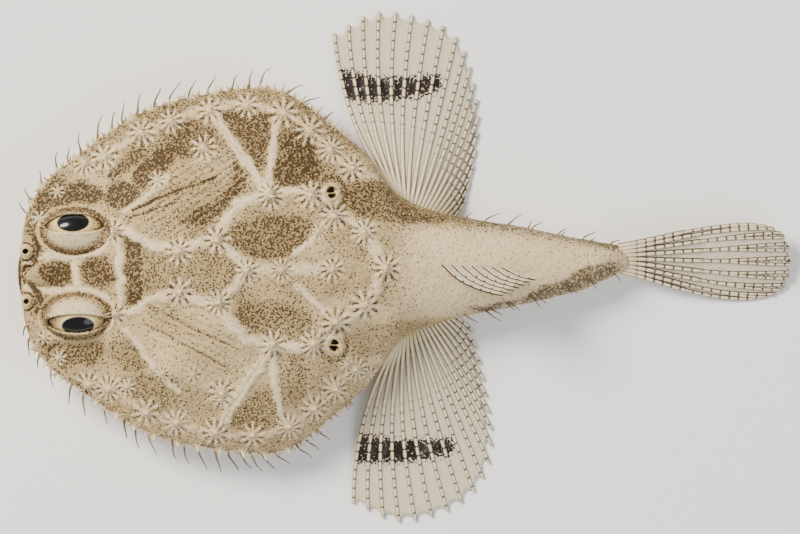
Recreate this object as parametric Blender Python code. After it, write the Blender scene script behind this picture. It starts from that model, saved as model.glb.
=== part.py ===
"""Pancake batfish, Halieutichthys aculeatus, life size, perched on its fins.

The head points to -X, the tail to +X, the back is up and +Y is the animal's right side. Shapes are
worked out in millimetres and turned to metres when an object is finished. The floor is z = 0.
"""

import math
import random

import bmesh
import bpy
import numpy as np
from mathutils import Matrix, Vector
from mathutils.bvhtree import BVHTree

METRES_PER_MM = 0.001
SIDES = (("right", 1), ("left", -1))
GAP = 0.3
SEED = 7

# Half of the outline seen from above: (x, distance from the midline), snout to past the tail's end.
OUTLINE = [
    (-49.5, 0.0),
    (-49.2, 5.5),
    (-48.0, 9.2),
    (-45.5, 12.5),
    (-42.3, 14.9),
    (-38.0, 18.0),
    (-33.1, 20.8),
    (-26.9, 22.6),
    (-20.7, 23.4),
    (-16.9, 23.4),
    (-13.5, 22.0),
    (-8.4, 17.9),
    (-5.2, 15.2),
    (-2.8, 12.1),
    (-0.4, 9.2),
    (5.2, 6.9),
    (14.8, 5.1),
    (24.0, 3.1),
    (32.0, 1.8),
    (34.0, 0.0),
]
# Heights along the body: (x, belly, rim, back).
HEIGHTS = [
    (-50.0, 4.4, 6.1, 9.0),
    (-43.0, 4.2, 5.9, 10.0),
    (-35.0, 3.9, 5.5, 12.0),
    (-25.0, 3.4, 5.0, 13.2),
    (-14.0, 2.9, 4.5, 13.0),
    (-4.0, 2.5, 4.3, 11.6),
    (5.0, 2.1, 4.4, 10.0),
    (15.0, 1.8, 4.2, 7.9),
    (29.0, 1.4, 3.3, 5.1),
    (34.0, 1.3, 3.0, 4.6),
]
# How blunt the edge is along the outline: 0 is a dome with a thin rim, 1 is half an ellipse.
BLUNTNESS = [(-49.5, 0.9), (-46.0, 0.35), (-38.0, 0.1), (-8.0, 0.12), (0.0, 0.55), (8.0, 1.0)]
AXIS_START = -38.0
AXIS_END = 33.0
RIM_SHARE = 0.17
DOME_POWER = 1.3

# Low swellings of the back: (x, y, radius along, radius across, turn in degrees, height).
# Those off the midline stand on both sides.
SWELLINGS = [
    (-45.0, 0.0, 6.0, 3.2, 0.0, -0.7),
    (-26.0, 0.0, 14.0, 4.0, 0.0, 0.5),
    (-29.0, 11.3, 7.5, 3.4, -33.0, 0.9),
    (-15.5, 14.0, 5.0, 2.6, -60.0, 0.5),
    (-7.0, 4.5, 6.0, 4.0, -25.0, 0.5),
]

# Planes across the body that part the head from the disc and the disc from the tail.
HEAD_CUT = -34.9
TAIL_CUT = 5.9
TAIL_END = 28.9

EYE_X = -42.3
EYE_Y = 5.45
EYE_Z = 8.9
EYE_RADII = (3.6, 2.3, 2.35)
SOCKET_RADII = tuple(radius + GAP for radius in EYE_RADII)
LID_RADII = (4.4, 3.05, 3.15)
# The opening between the lids: an oval tube along the gaze, a little to the outer side.
GAZE_TILT = 16.0
APERTURE_HALF = (3.75, 1.6)
APERTURE_OUT = 0.32
APERTURE_DEPTH = (0.9, 5.0)
APERTURE_SIDES = 20

LIP_HALF_WIDTH = 3.6
LOWER_LIP_Z = 5.3
UPPER_LIP_Z = 6.55
LIP_RADIUS = 0.62
NOSTRIL_AT = (-48.75, 3.35)
NOSTRIL_RADIUS = 0.66
NOSTRIL_HOLE = 0.36
NOSTRIL_TOP = 7.95
NOSTRIL_BASE = (0.4, 6.4)
NOSTRIL_WELL = (0.8, 0.4)
ROSTRUM_ROOT = (-43.6, 0.0, 7.7)
ROSTRUM_TIP = (-49.15, 0.0, 8.25)
# Half widths along the rostrum: (share of its length, half width).
ROSTRUM_WIDTHS = [(0.0, 1.95), (0.5, 1.65), (0.78, 1.15), (1.0, 0.0)]
ROSTRUM_FLATTEN = 0.45
CAVITY_AT = (-48.75, 0.0, 7.3)
CAVITY_RADII = (1.25, 1.3, 0.7)
LURE_AT = (-48.75, 0.0, 7.25)
LURE_RADII = (0.62, 0.62, 0.36)
MOUTH_SLIT = (0.8, 0.22)

GILL_AT = (-9.3, 9.75)
GILL_RING = (0.84, 1.1)
GILL_RING_RADIUS = 0.3
GILL_PIT = (0.62, 0.88, 0.85)
GILL_FLAP_RADIUS = 0.2
# The bends of the flap that stands across the opening, in its own plane.
GILL_FLAP = [(-0.25, 1.0), (0.36, 0.45), (-0.34, -0.35), (0.25, -1.0)]

# Star tubercles of one side, (x, y), mirrored to the other; then those on the midline.
STARS = [
    (-41.0, 14.3),
    (-37.4, 5.3),
    (-38.4, 14.9),
    (-33.6, 18.0),
    (-29.8, 19.4),
    (-28.9, 2.6),
    (-25.6, 15.9),
    (-24.8, 20.7),
    (-24.0, 4.0),
    (-20.0, 21.2),
    (-17.1, 9.5),
    (-15.3, 20.2),
    (-11.9, 9.55),
    (-12.0, 17.9),
    (-9.3, 15.4),
    (-9.0, 6.8),
    (-6.6, 12.9),
    (-5.2, 4.65),
]
MIDLINE_STARS = [-20.2, -15.8, -9.3, -2.45]
STAR_ARMS = 7
STAR_REACH = 1.9
STAR_WAIST = 0.75
STAR_HEIGHT = 0.85
STAR_ROOT = 0.22

# Fringe of the disc: skin threads between pointed bucklers, along one side.
FRINGE_START = -49.0
FRINGE_END = -11.2
FRINGE_STEP = 2.2
THREAD_LENGTH = (2.5, 3.5)
THREAD_RADIUS = 0.28
THREAD_SWEEP = 0.6
# How long the threads are along the rim: (share of the way from the snout, share of the length).
THREAD_SHARE = [(0.0, 0.65), (0.4, 1.0), (0.8, 1.0), (1.0, 0.78)]
BUCKLER_STEP = 2.95
BUCKLER_LENGTH = 1.0
BUCKLER_RADIUS = 0.62
BUCKLER_RAISE = 0.45
SIZE_RANGE = (0.75, 1.15)
THREAD_SIDES = 4
TAIL_THREADS = [8.0, 10.8, 13.6, 16.4, 19.4, 22.4, 25.2, 27.4]
TAIL_THREAD_LENGTH = {"right": 1.9, "left": 2.5}
TAIL_THREAD_SWEEP = {"right": 2.4, "left": 1.3}
TAIL_ROLL = [(6.0, 0.0), (12.0, 4.0), (20.0, 38.0), (28.0, 72.0)]

PECTORAL_RAYS = 19
PECTORAL_ROOT = [(-1.3, 9.8), (0.2, 8.3), (2.2, 7.0), (5.0, 5.7)]
PECTORAL_TIPS = {
    "right": [(-8.6, 30.6), (-2.3, 33.3), (6.7, 30.4), (9.7, 22.0), (9.5, 15.5), (8.1, 8.9)],
    "left": [(-7.2, 30.5), (-0.8, 33.0), (7.2, 30.4), (10.8, 24.0), (10.1, 15.5), (8.8, 8.5)],
}
PECTORAL_DEPARTURES = {
    "right": [126.0, 98.0, 68.0, 50.0, 22.0],
    "left": [122.0, 95.0, 68.0, 50.0, 22.0],
}
PECTORAL_BOW = 0.5
PECTORAL_ROOT_Z = (3.5, 4.4)
PECTORAL_DROP_POWER = 1.7
FOOT_Z = 0.3

CAUDAL_RAYS = 9
CAUDAL_ROOT_HALF = 1.8
CAUDAL_ROOT_SHIFT = 0.5
CAUDAL_ROOT_Z = 3.25
CAUDAL_TIP_HALF = 5.1
CAUDAL_LENGTH = 20.8
CAUDAL_ROLL = 72.0
CAUDAL_DROP = 1.55

DORSAL_RAYS = 6
DORSAL_BASE = (4.9, 12.3)
DORSAL_ASIDE = 0.5
DORSAL_SUNK = 0.5
DORSAL_RAKE = 7.8
DORSAL_REACH = 5.2
DORSAL_LEAN = 55.0

ANAL_RAYS = 4
ANAL_BASE = (12.0, 15.0)
ANAL_TIP = (6.4, -2.6)
ANAL_TIP_STEP = (-1.6, 1.9)

PELVIC_RAYS = 6
PELVIC_BASE = (-28.0, 4.6)
PELVIC_LENGTH = 11.0
PELVIC_FAN = (38.0, 108.0)
PELVIC_PALM = (-1.76, 0.8)
PELVIC_SUNK = 0.7
PELVIC_WRIST_Z = 0.55

MEMBRANE = 0.25
RAY_RIDGE = 0.42

SKIN = (0.42, 0.32, 0.2)
FIN = (0.62, 0.54, 0.4)
EYE = (0.08, 0.07, 0.05)
LURE = (0.7, 0.6, 0.45)
SHARP_ANGLE = 50.0


def smooth_values(stations, x):
    """Values at x of a smooth curve through (position, value) stations, with no overshoot."""
    stations = np.array(stations, float)
    position, value = stations[:, 0], stations[:, 1]
    step = np.diff(position)
    rise = np.diff(value) / step
    slope = np.zeros(len(position))
    same_way = rise[1:] * rise[:-1] > 0
    harmonic = 2 * rise[1:] * rise[:-1] / np.where(same_way, rise[1:] + rise[:-1], 1)
    slope[1:-1] = np.where(same_way, harmonic, 0)
    slope[0], slope[-1] = rise[0], rise[-1]
    x = np.clip(np.asarray(x, float), position[0], position[-1])
    i = np.clip(np.searchsorted(position, x) - 1, 0, len(step) - 1)
    t = (x - position[i]) / step[i]
    return (
        value[i] * (1 + 2 * t) * (1 - t) ** 2
        + slope[i] * step[i] * t * (1 - t) ** 2
        + value[i + 1] * t * t * (3 - 2 * t)
        + slope[i + 1] * step[i] * t * t * (t - 1)
    )


def smooth_path(points, count, closed=False):
    """Points evenly spaced along a smooth curve through the given points."""
    points = np.array(points, float)
    if closed:
        guides = np.vstack([points[-1], points, points[0], points[1]])
    else:
        first, last = 2 * points[0] - points[1], 2 * points[-1] - points[-2]
        guides = np.vstack([first, points, last])
    t = np.linspace(0, 1, 24, endpoint=False)[:, None]
    fine = []
    for a, b, c, d in zip(guides, guides[1:], guides[2:], guides[3:]):
        curve = b * (2 - 5 * t**2 + 3 * t**3) + c * (t + 4 * t**2 - 3 * t**3)
        fine.append(0.5 * (curve + a * (2 * t**2 - t - t**3) + d * (t**3 - t**2)))
    fine = np.vstack(fine + [guides[-2][None]])
    along = np.append(0, np.cumsum(np.linalg.norm(np.diff(fine, axis=0), axis=1)))
    wanted = np.linspace(0, along[-1], count + 1 if closed else count)
    even = [np.interp(wanted, along, fine[:, axis]) for axis in range(fine.shape[1])]
    return np.stack(even, axis=1)[: count if closed else None]


def heights_at(x):
    """Belly, rim and back height at x."""
    return [smooth_values([(s[0], s[i]) for s in HEIGHTS], x) for i in (1, 2, 3)]


def swelling_height(x, y):
    """What the low swellings add to the back at a point."""
    total = np.zeros(np.broadcast(x, y).shape)
    for centre_x, centre_y, along, across, turn, height in SWELLINGS:
        for side in (1, -1) if centre_y else (1,):
            angle = math.radians(turn * side)
            dx, dy = x - centre_x, y - centre_y * side
            p = (dx * math.cos(angle) + dy * math.sin(angle)) / along
            q = (dy * math.cos(angle) - dx * math.sin(angle)) / across
            total = total + height * np.exp(-(p * p + q * q))
    return total


def whole_outline(count):
    """The body's outline, snout first, down the right side and back up the left."""
    right = [(x, half) for x, half in OUTLINE]
    left = [(x, -half) for x, half in OUTLINE[-2:0:-1]]
    return smooth_path(right + left, count, closed=True)


def body_point(rim, t, top):
    """Points of the body's skin at share t of the way from its axis to the rim."""
    axis_share = (rim[:, 0] - OUTLINE[0][0]) / (OUTLINE[-1][0] - OUTLINE[0][0])
    axis_x = AXIS_START + (AXIS_END - AXIS_START) * axis_share
    x = axis_x + (rim[:, 0] - axis_x) * t
    y = rim[:, 1] * t
    belly, middle, back = heights_at(x)
    blunt = smooth_values(BLUNTNESS, rim[:, 0])
    ellipse = math.sqrt(1 - t * t)
    if top:
        dome = RIM_SHARE * math.sqrt(1 - t**12) + (1 - RIM_SHARE) * (1 - t * t) ** DOME_POWER
        share = (1 - blunt) * dome + blunt * ellipse
        z = middle + (back - middle) * share + swelling_height(x, y) * (1 - t**6)
    else:
        flat = math.sqrt(1 - t**6)
        z = middle - (middle - belly) * ((1 - blunt) * flat + blunt * ellipse**0.7)
    return np.stack([x, y, z], axis=1)


def mesh_object(name, points, faces):
    """A new object from points in millimetres and faces."""
    mesh = bpy.data.meshes.new(name)
    mesh.from_pydata([tuple(map(float, p)) for p in points], [], faces)
    obj = bpy.data.objects.new(name, mesh)
    bpy.context.scene.collection.objects.link(obj)
    return obj


def tidy(obj, merge=1e-4):
    """Merges equal points and turns every face outwards."""
    bm = bmesh.new()
    bm.from_mesh(obj.data)
    bmesh.ops.remove_doubles(bm, verts=bm.verts, dist=merge)
    bmesh.ops.dissolve_degenerate(bm, edges=bm.edges, dist=merge)
    bmesh.ops.recalc_face_normals(bm, faces=bm.faces)
    bm.to_mesh(obj.data)
    bm.free()
    return obj


def body_object(name, count, swell=0.0):
    """The plain closed body, or one with its skin moved out by swell."""
    rim = whole_outline(count)
    top_shares = [0.985, 0.94, 0.86, 0.75, 0.6, 0.42, 0.22, 0.0]
    under_shares = [0.975, 0.9, 0.7, 0.35, 0.0]
    rings = [body_point(rim, t, True) for t in top_shares[::-1]]
    rings.append(body_point(rim, 1.0, True))
    rings += [body_point(rim, t, False) for t in under_shares]
    points = np.vstack(rings)
    faces = []
    for r in range(len(rings) - 1):
        for i in range(count):
            j = (i + 1) % count
            faces.append((r * count + i, (r + 1) * count + i, (r + 1) * count + j, r * count + j))
    obj = tidy(mesh_object(name, points, faces))
    if swell:
        obj.data.update()
        normals = [v.normal.copy() for v in obj.data.vertices]
        for vertex, normal in zip(obj.data.vertices, normals):
            vertex.co += normal * swell
    return obj


def tube(name, path, radii, sides, flatten=1.0):
    """A closed tube along a path; a radius of 0 at an end makes a point there."""
    path = [Vector(p) for p in path]
    points, rings = [], []
    for i, (place, radius) in enumerate(zip(path, radii)):
        ahead = path[min(i + 1, len(path) - 1)] - path[max(i - 1, 0)]
        turn = ahead.to_track_quat("Z", "Y")
        if radius == 0:
            rings.append([len(points)])
            points.append(place)
            continue
        rings.append(list(range(len(points), len(points) + sides)))
        for k in range(sides):
            angle = 2 * math.pi * k / sides
            offset = Vector((math.cos(angle) * radius, math.sin(angle) * radius * flatten, 0))
            points.append(place + turn @ offset)
    faces = []
    for a, b in zip(rings, rings[1:]):
        for k in range(sides):
            m = (k + 1) % sides
            corners = [a[k % len(a)], a[m % len(a)], b[m % len(b)], b[k % len(b)]]
            faces.append(tuple(dict.fromkeys(corners)))
    for ring in (rings[0][::-1], rings[-1]):
        if len(ring) > 1:
            faces.append(tuple(ring))
    return tidy(mesh_object(name, points, faces))


def ellipsoid(name, centre, radii, subdivisions, turn=None):
    """An ellipsoid of near-equal triangles, turned about its centre."""
    bm = bmesh.new()
    bmesh.ops.create_icosphere(bm, subdivisions=subdivisions, radius=1)
    mesh = bpy.data.meshes.new(name)
    bm.to_mesh(mesh)
    bm.free()
    mesh.transform(Matrix.Translation(centre) @ (turn or Matrix()) @ Matrix.Diagonal((*radii, 1)))
    obj = bpy.data.objects.new(name, mesh)
    bpy.context.scene.collection.objects.link(obj)
    return obj


def skin_finder(obj):
    """A function that gives the point and the normal of the back, or the belly, at (x, y)."""
    tree = BVHTree.FromPolygons([v.co for v in obj.data.vertices], [p.vertices for p in obj.data.polygons])

    def find(x, y, from_above=True):
        start = Vector((x, y, 40.0 if from_above else -40.0))
        place, normal, _, _ = tree.ray_cast(start, Vector((0, 0, -1 if from_above else 1)))
        return place, normal

    return find


def frame_on(place, normal):
    """A matrix whose Z lies along the normal at a place."""
    return Matrix.Translation(place) @ normal.to_track_quat("Z", "Y").to_matrix().to_4x4()


def star(place, normal, size, spin):
    """A star tubercle: a low cone with arms that run down into the skin."""
    points = [(0, 0, STAR_HEIGHT * size), (0, 0, -STAR_ROOT * 2)]
    for k in range(STAR_ARMS * 2):
        angle = spin + math.pi * k / STAR_ARMS
        reach = (STAR_WAIST if k % 2 else STAR_REACH) * size
        points.append((reach * math.cos(angle), reach * math.sin(angle), -STAR_ROOT))
    faces = []
    for k in range(STAR_ARMS * 2):
        a, b = 2 + k, 2 + (k + 1) % (STAR_ARMS * 2)
        faces += [(0, a, b), (1, b, a)]
    obj = mesh_object("star", points, faces)
    obj.data.transform(frame_on(place, normal))
    return tidy(obj)


def stars(find, rng):
    """Every star tubercle of the back."""
    places = [(x, y * side) for x, y in STARS for side in (1, -1)]
    places += [(x, 0.0) for x in MIDLINE_STARS]
    return [star(*find(x, y), rng.uniform(0.85, 1.1), rng.uniform(0, math.pi)) for x, y in places]


def outline_station(path, x, side):
    """The outline point at x on one side, with its outward direction in plan."""
    half = path[: len(path) // 2]
    k = int(np.argmin(np.abs(half[:, 0] - x) + (half[:, 1] < 1) * 5))
    ahead = half[k + 1] - half[k - 1]
    out = Vector((-ahead[1], ahead[0], 0)).normalized()
    return Vector((half[k][0], half[k][1] * side, 0)), Vector((out.x, out.y * side, 0))


def stations_along(path, start, end, step):
    """Places on one side's outline between two x, evenly spaced along it, as x values."""
    half = path[: len(path) // 2]
    kept = half[(half[:, 0] >= start) & (half[:, 0] <= end)]
    along = np.append(0, np.cumsum(np.linalg.norm(np.diff(kept, axis=0), axis=1)))
    return np.interp(np.arange(step / 2, along[-1], step), along, kept[:, 0])


def thread(place, out, length, sweep, droop, radius=THREAD_RADIUS):
    """A tapered skin thread, rooted in the rim, that leaves it outwards and then bends back."""
    back = Vector((1, 0, 0))
    lower = Vector((0, 0, droop))
    aim = (out + back * sweep).normalized()
    middle = place + (out * 0.35 + aim * 0.65).normalized() * (length * 0.5) + lower * 0.4
    tip = place + aim * length + back * (length * 0.12) + lower
    root = place - out * 0.9
    radii = [radius, radius * 1.1, radius * 0.85, 0]
    return tube("thread", [root, place, middle, tip], radii, THREAD_SIDES)


def fringe(path, rng):
    """Threads and pointed bucklers round the rim of the disc, and threads along the tail."""
    pieces = []
    for side_name, side in SIDES:
        for x in stations_along(path, FRINGE_START, FRINGE_END, FRINGE_STEP):
            place, out = outline_station(path, x, side)
            place.z = heights_at(x)[1] + rng.uniform(-0.2, 0.3)
            backwards = (x - FRINGE_START) / (FRINGE_END - FRINGE_START)
            rearmost = max(0.0, backwards - 0.8) * 5
            length = rng.uniform(*THREAD_LENGTH) * float(smooth_values(THREAD_SHARE, backwards))
            sweep = THREAD_SWEEP + 0.4 * rearmost + rng.uniform(-0.15, 0.15)
            pieces.append(thread(place, out, length, sweep, rng.uniform(-0.7, 0.3)))
        for x in stations_along(path, FRINGE_START + 0.5, FRINGE_END, BUCKLER_STEP):
            place, out = outline_station(path, x, side)
            place.z = heights_at(x)[1] + BUCKLER_RAISE
            size = rng.uniform(*SIZE_RANGE)
            tip = place + out * BUCKLER_LENGTH * size + Vector((0.25, 0, 0.35))
            root = place - out * 1.1
            radius = BUCKLER_RADIUS * size
            pieces.append(tube("buckler", [root, place, tip], [radius, radius * 0.8, 0], 5))
        for x in TAIL_THREADS:
            place, out = outline_station(path, x, side)
            belly, rim, back = heights_at(x)
            place.z = rim + 0.2
            if side_name == "left":
                roll = math.radians(float(smooth_values(TAIL_ROLL, x)))
                place.y *= math.cos(roll)
                place.z = rim + (back - rim) * math.sin(roll)
                out = (out * math.cos(roll) + Vector((0, 0, math.sin(roll)))).normalized()
            length = TAIL_THREAD_LENGTH[side_name] * rng.uniform(0.75, 1.1)
            sweep = TAIL_THREAD_SWEEP[side_name]
            aside = Vector((0, 0.8 * side, 0)) * (side_name == "left")
            pieces.append(thread(place, (out + aside).normalized(), length, sweep, 0.1))
    return pieces


def lip(name, z, forward):
    """A lip: a rounded roll across the front of the snout."""
    shape = [(-48.0, LIP_HALF_WIDTH), (-48.9, 2.5), (-49.3, 0), (-48.9, -2.5), (-48.0, -LIP_HALF_WIDTH)]
    path = [(x + forward, y, z) for x, y in smooth_path(shape, 11)]
    swell = [LIP_RADIUS * (0.75 + 0.25 * math.sin(math.pi * k / 10)) for k in range(11)]
    return tube(name, path, swell, 8)


def face_pieces():
    """Lids, lips, nostrils and the short rostrum, which are one with the head."""
    pieces = [lip("upper_lip", UPPER_LIP_Z, 0.25), lip("lower_lip", LOWER_LIP_Z, -0.08)]
    for _, side in SIDES:
        lid_at = (EYE_X, EYE_Y * side, EYE_Z)
        pieces.append(ellipsoid("lid", lid_at, LID_RADII, 3))
        x, y = NOSTRIL_AT
        base = Vector((x + NOSTRIL_BASE[0], y * side, NOSTRIL_BASE[1]))
        mouth = Vector((x, y * side, NOSTRIL_TOP))
        radii = [NOSTRIL_RADIUS * 1.9, NOSTRIL_RADIUS * 1.6, NOSTRIL_RADIUS]
        pieces.append(tube("nostril", [base, (base + mouth * 2) / 3, mouth], radii, 9))
    root, tip = Vector(ROSTRUM_ROOT), Vector(ROSTRUM_TIP)
    path = [root.lerp(tip, share) for share, _ in ROSTRUM_WIDTHS]
    half_widths = [half for _, half in ROSTRUM_WIDTHS]
    pieces.append(tube("rostrum", path, half_widths, 10, flatten=ROSTRUM_FLATTEN))
    return pieces


def gill_pieces(find):
    """The raised ring round each gill opening."""
    pieces = []
    for _, side in SIDES:
        place, normal = find(GILL_AT[0], GILL_AT[1] * side)
        loop = []
        for k in range(12):
            angle = 2 * math.pi * k / 12
            offset = Vector((GILL_RING[0] * math.cos(angle), GILL_RING[1] * math.sin(angle), 0.05))
            loop.append(frame_on(place, normal) @ offset)
        pieces.append(ring_tube("gill_ring", loop, GILL_RING_RADIUS, 5))
    return pieces


def gill_flaps(find):
    """The small S-shaped flap that stands across each gill opening."""
    pieces = []
    for _, side in SIDES:
        place, normal = find(GILL_AT[0], GILL_AT[1] * side)
        path = [frame_on(place, normal) @ Vector((x, y * side, -0.15)) for x, y in GILL_FLAP]
        pieces.append(tube("gill_flap", path, [GILL_FLAP_RADIUS] * len(path), 5, flatten=2.2))
    return pieces


def ring_tube(name, loop, radius, sides):
    """A closed ring of round section through the points of a loop."""
    count = len(loop)
    centre = sum(loop, Vector()) / count
    points, faces = [], []
    for i, place in enumerate(loop):
        ahead = (loop[(i + 1) % count] - loop[i - 1]).normalized()
        out = (place - centre).normalized()
        up = ahead.cross(out).normalized()
        for k in range(sides):
            angle = 2 * math.pi * k / sides
            points.append(place + (out * math.cos(angle) + up * math.sin(angle)) * radius)
    for i in range(count):
        for k in range(sides):
            m, j = (k + 1) % sides, (i + 1) % count
            faces.append((i * sides + k, i * sides + m, j * sides + m, j * sides + k))
    return tidy(mesh_object(name, points, faces))


def aperture(eye, side):
    """The oval tube that opens the lids over an eye."""
    tilt = Matrix.Rotation(math.radians(-GAZE_TILT * side), 4, "X")
    near, far = APERTURE_DEPTH
    path = [Vector((0, 0, near)), Vector((0, 0, far))]
    obj = tube("aperture", path, [1, 1], APERTURE_SIDES)
    across = Vector((0, APERTURE_OUT * side, 0))
    squeeze = Matrix.Diagonal((*APERTURE_HALF, 1, 1))
    obj.data.transform(Matrix.Translation(eye) @ tilt @ Matrix.Translation(across) @ squeeze)
    return obj


def cutters(find):
    """What is taken from the body: eye sockets, mouth line, nostril holes, lure cavity, gill pits."""
    pieces = [ellipsoid("cavity", CAVITY_AT, CAVITY_RADII, 2)]
    slit_z = (LOWER_LIP_Z + UPPER_LIP_Z) / 2
    slit = [(-48.6, 3.3), (-49.2, 2.2), (-49.6, 0), (-49.2, -2.2), (-48.6, -3.3)]
    path = [(x, y, slit_z) for x, y in smooth_path(slit, 9)]
    depth, flatness = MOUTH_SLIT
    pieces.append(tube("mouth_line", path, [depth] * 9, 6, flatten=flatness))
    for _, side in SIDES:
        eye = Vector((EYE_X, EYE_Y * side, EYE_Z))
        pieces.append(ellipsoid("socket", eye, SOCKET_RADII, 3))
        pieces.append(aperture(eye, side))
        x, y = NOSTRIL_AT
        mouth = Vector((x, y * side, NOSTRIL_TOP))
        below, above = NOSTRIL_WELL
        hole = [mouth - Vector((0, 0, below)), mouth + Vector((0, 0, above))]
        pieces.append(tube("nostril_hole", hole, [NOSTRIL_HOLE] * 2, 7))
        place, normal = find(GILL_AT[0], GILL_AT[1] * side)
        turn = normal.to_track_quat("Z", "Y").to_matrix().to_4x4()
        pieces.append(ellipsoid("gill_pit", place, GILL_PIT, 2, turn))
    return pieces


def boolean(obj, pieces, operation):
    """Joins a collection of closed pieces to an object, or cuts them from it, and removes them.

    The manifold solver takes scores of overlapping pieces at once, and keeps the thin fins, which
    the exact solver empties.
    """
    group = bpy.data.collections.new("pieces")
    bpy.context.scene.collection.children.link(group)
    for piece in pieces:
        group.objects.link(piece)
    modifier = obj.modifiers.new(operation.lower(), "BOOLEAN")
    modifier.operation = operation
    modifier.operand_type = "COLLECTION"
    modifier.collection = group
    modifier.solver = "MANIFOLD"
    graph = bpy.context.evaluated_depsgraph_get()
    result = bpy.data.meshes.new_from_object(obj.evaluated_get(graph), depsgraph=graph)
    obj.modifiers.clear()
    obj.data = result
    for piece in pieces:
        bpy.data.objects.remove(piece)
    bpy.data.collections.remove(group)
    return obj


def keep_largest(obj):
    """Drops every loose scrap, so that the object is one closed surface."""
    bm = bmesh.new()
    bm.from_mesh(obj.data)
    bmesh.ops.triangulate(bm, faces=bm.faces)
    unseen, parts = set(bm.faces), []
    while unseen:
        ahead, part = [unseen.pop()], []
        while ahead:
            face = ahead.pop()
            part.append(face)
            for edge in face.edges:
                for other in edge.link_faces:
                    if other in unseen and len(edge.link_faces) == 2:
                        unseen.remove(other)
                        ahead.append(other)
        parts.append(part)
    parts.sort(key=len)
    bmesh.ops.delete(bm, geom=[face for part in parts[:-1] for face in part], context="FACES")
    bm.to_mesh(obj.data)
    bm.free()
    return obj


def slice_of(source, name, low, high):
    """A copy of the source between two planes across X, closed at its cuts."""
    obj = bpy.data.objects.new(name, source.data.copy())
    bpy.context.scene.collection.objects.link(obj)
    bm = bmesh.new()
    bm.from_mesh(obj.data)
    for x, way in ((low, -1), (high, 1)):
        if x is None:
            continue
        everything = bm.verts[:] + bm.edges[:] + bm.faces[:]
        cut = bmesh.ops.bisect_plane(
            bm, geom=everything, dist=1e-5, plane_co=(x, 0, 0), plane_no=(way, 0, 0), clear_outer=True
        )
        edges = [item for item in cut["geom_cut"] if isinstance(item, bmesh.types.BMEdge)]
        bmesh.ops.holes_fill(bm, edges=edges)
    bmesh.ops.recalc_face_normals(bm, faces=bm.faces)
    bm.to_mesh(obj.data)
    bm.free()
    return keep_largest(obj)


def bezier(a, b, c, t):
    """A point of a curve that leaves a towards b and ends at c."""
    return a * (1 - t) ** 2 + b * 2 * t * (1 - t) + c * t * t


def fin(name, rays, rows, notch, ridge=RAY_RIDGE, membrane=MEMBRANE, root_swell=1.0):
    """A fin: a thin sheet whose rays are ridges, notched at its edge between them.

    Each ray is a function from 0 at the root to 1 at the tip. Both faces are split alike.
    """
    columns = []
    for k, ray in enumerate(rays):
        columns.append((ray, 1.0, ridge))
        if k + 1 < len(rays):
            other = rays[k + 1]
            between = lambda t, ray=ray, other=other: (ray(t) + other(t)) / 2
            columns.append((between, 1 - notch, membrane))
    middle = [[ray(reach * r / (rows - 1)) for r in range(rows)] for ray, reach, _ in columns]
    points, across = [], len(columns)
    for way in (1, -1):
        for c, (_, _, half) in enumerate(columns):
            for r in range(rows):
                place = middle[c][r]
                side = middle[min(c + 1, across - 1)][r] - middle[max(c - 1, 0)][r]
                ahead = middle[c][min(r + 1, rows - 1)] - middle[c][max(r - 1, 0)]
                normal = ahead.cross(side).normalized()
                share = r / (rows - 1)
                swell = half * (1 + root_swell * max(0.0, 1 - share * 3.5))
                taper = swell + (membrane - swell) * max(0.0, share - 0.6) / 0.4
                points.append(place + normal * taper * way)
    faces = []
    size = across * rows
    for c in range(across - 1):
        for r in range(rows - 1):
            a, b = c * rows + r, (c + 1) * rows + r
            cells = [(a, b, b + 1), (a, b + 1, a + 1)]
            faces += cells + [tuple(i + size for i in cell[::-1]) for cell in cells]
    edge = [c * rows for c in range(across)]
    edge += [(across - 1) * rows + r for r in range(1, rows)]
    edge += [c * rows + rows - 1 for c in range(across - 2, -1, -1)]
    edge += [r for r in range(rows - 2, 0, -1)]
    for a, b in zip(edge, edge[1:] + edge[:1]):
        faces += [(b, a, a + size), (b, a + size, b + size)]
    obj = mesh_object(name, points, faces)
    return tidy(obj, merge=1e-5)


def pectoral_rays(side_name):
    """Rays of one pectoral fin, from the rear edge of the disc out to the floor."""
    side = 1 if side_name == "right" else -1
    roots = smooth_path(PECTORAL_ROOT, PECTORAL_RAYS)
    tips = smooth_path(PECTORAL_TIPS[side_name], PECTORAL_RAYS)
    departures = PECTORAL_DEPARTURES[side_name]
    stations = [(k / (len(departures) - 1), angle) for k, angle in enumerate(departures)]
    rays = []
    for k in range(PECTORAL_RAYS):
        share = k / (PECTORAL_RAYS - 1)
        angle = math.radians(float(smooth_values(stations, share)))
        root = Vector((roots[k][0], roots[k][1] * side, 0))
        tip = Vector((tips[k][0], tips[k][1] * side, 0))
        bow = (tip - root).length * (PECTORAL_BOW - 0.15 * share)
        bend = root + Vector((math.cos(angle), math.sin(angle) * side, 0)) * bow

        root.z = PECTORAL_ROOT_Z[0] + (PECTORAL_ROOT_Z[1] - PECTORAL_ROOT_Z[0]) * share

        def ray(t, root=root, bend=bend, tip=tip):
            place = bezier(root, bend, tip, t)
            place.z = FOOT_Z + (root.z - FOOT_Z) * (1 - t) ** PECTORAL_DROP_POWER
            return place

        rays.append(ray)
    return rays


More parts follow.
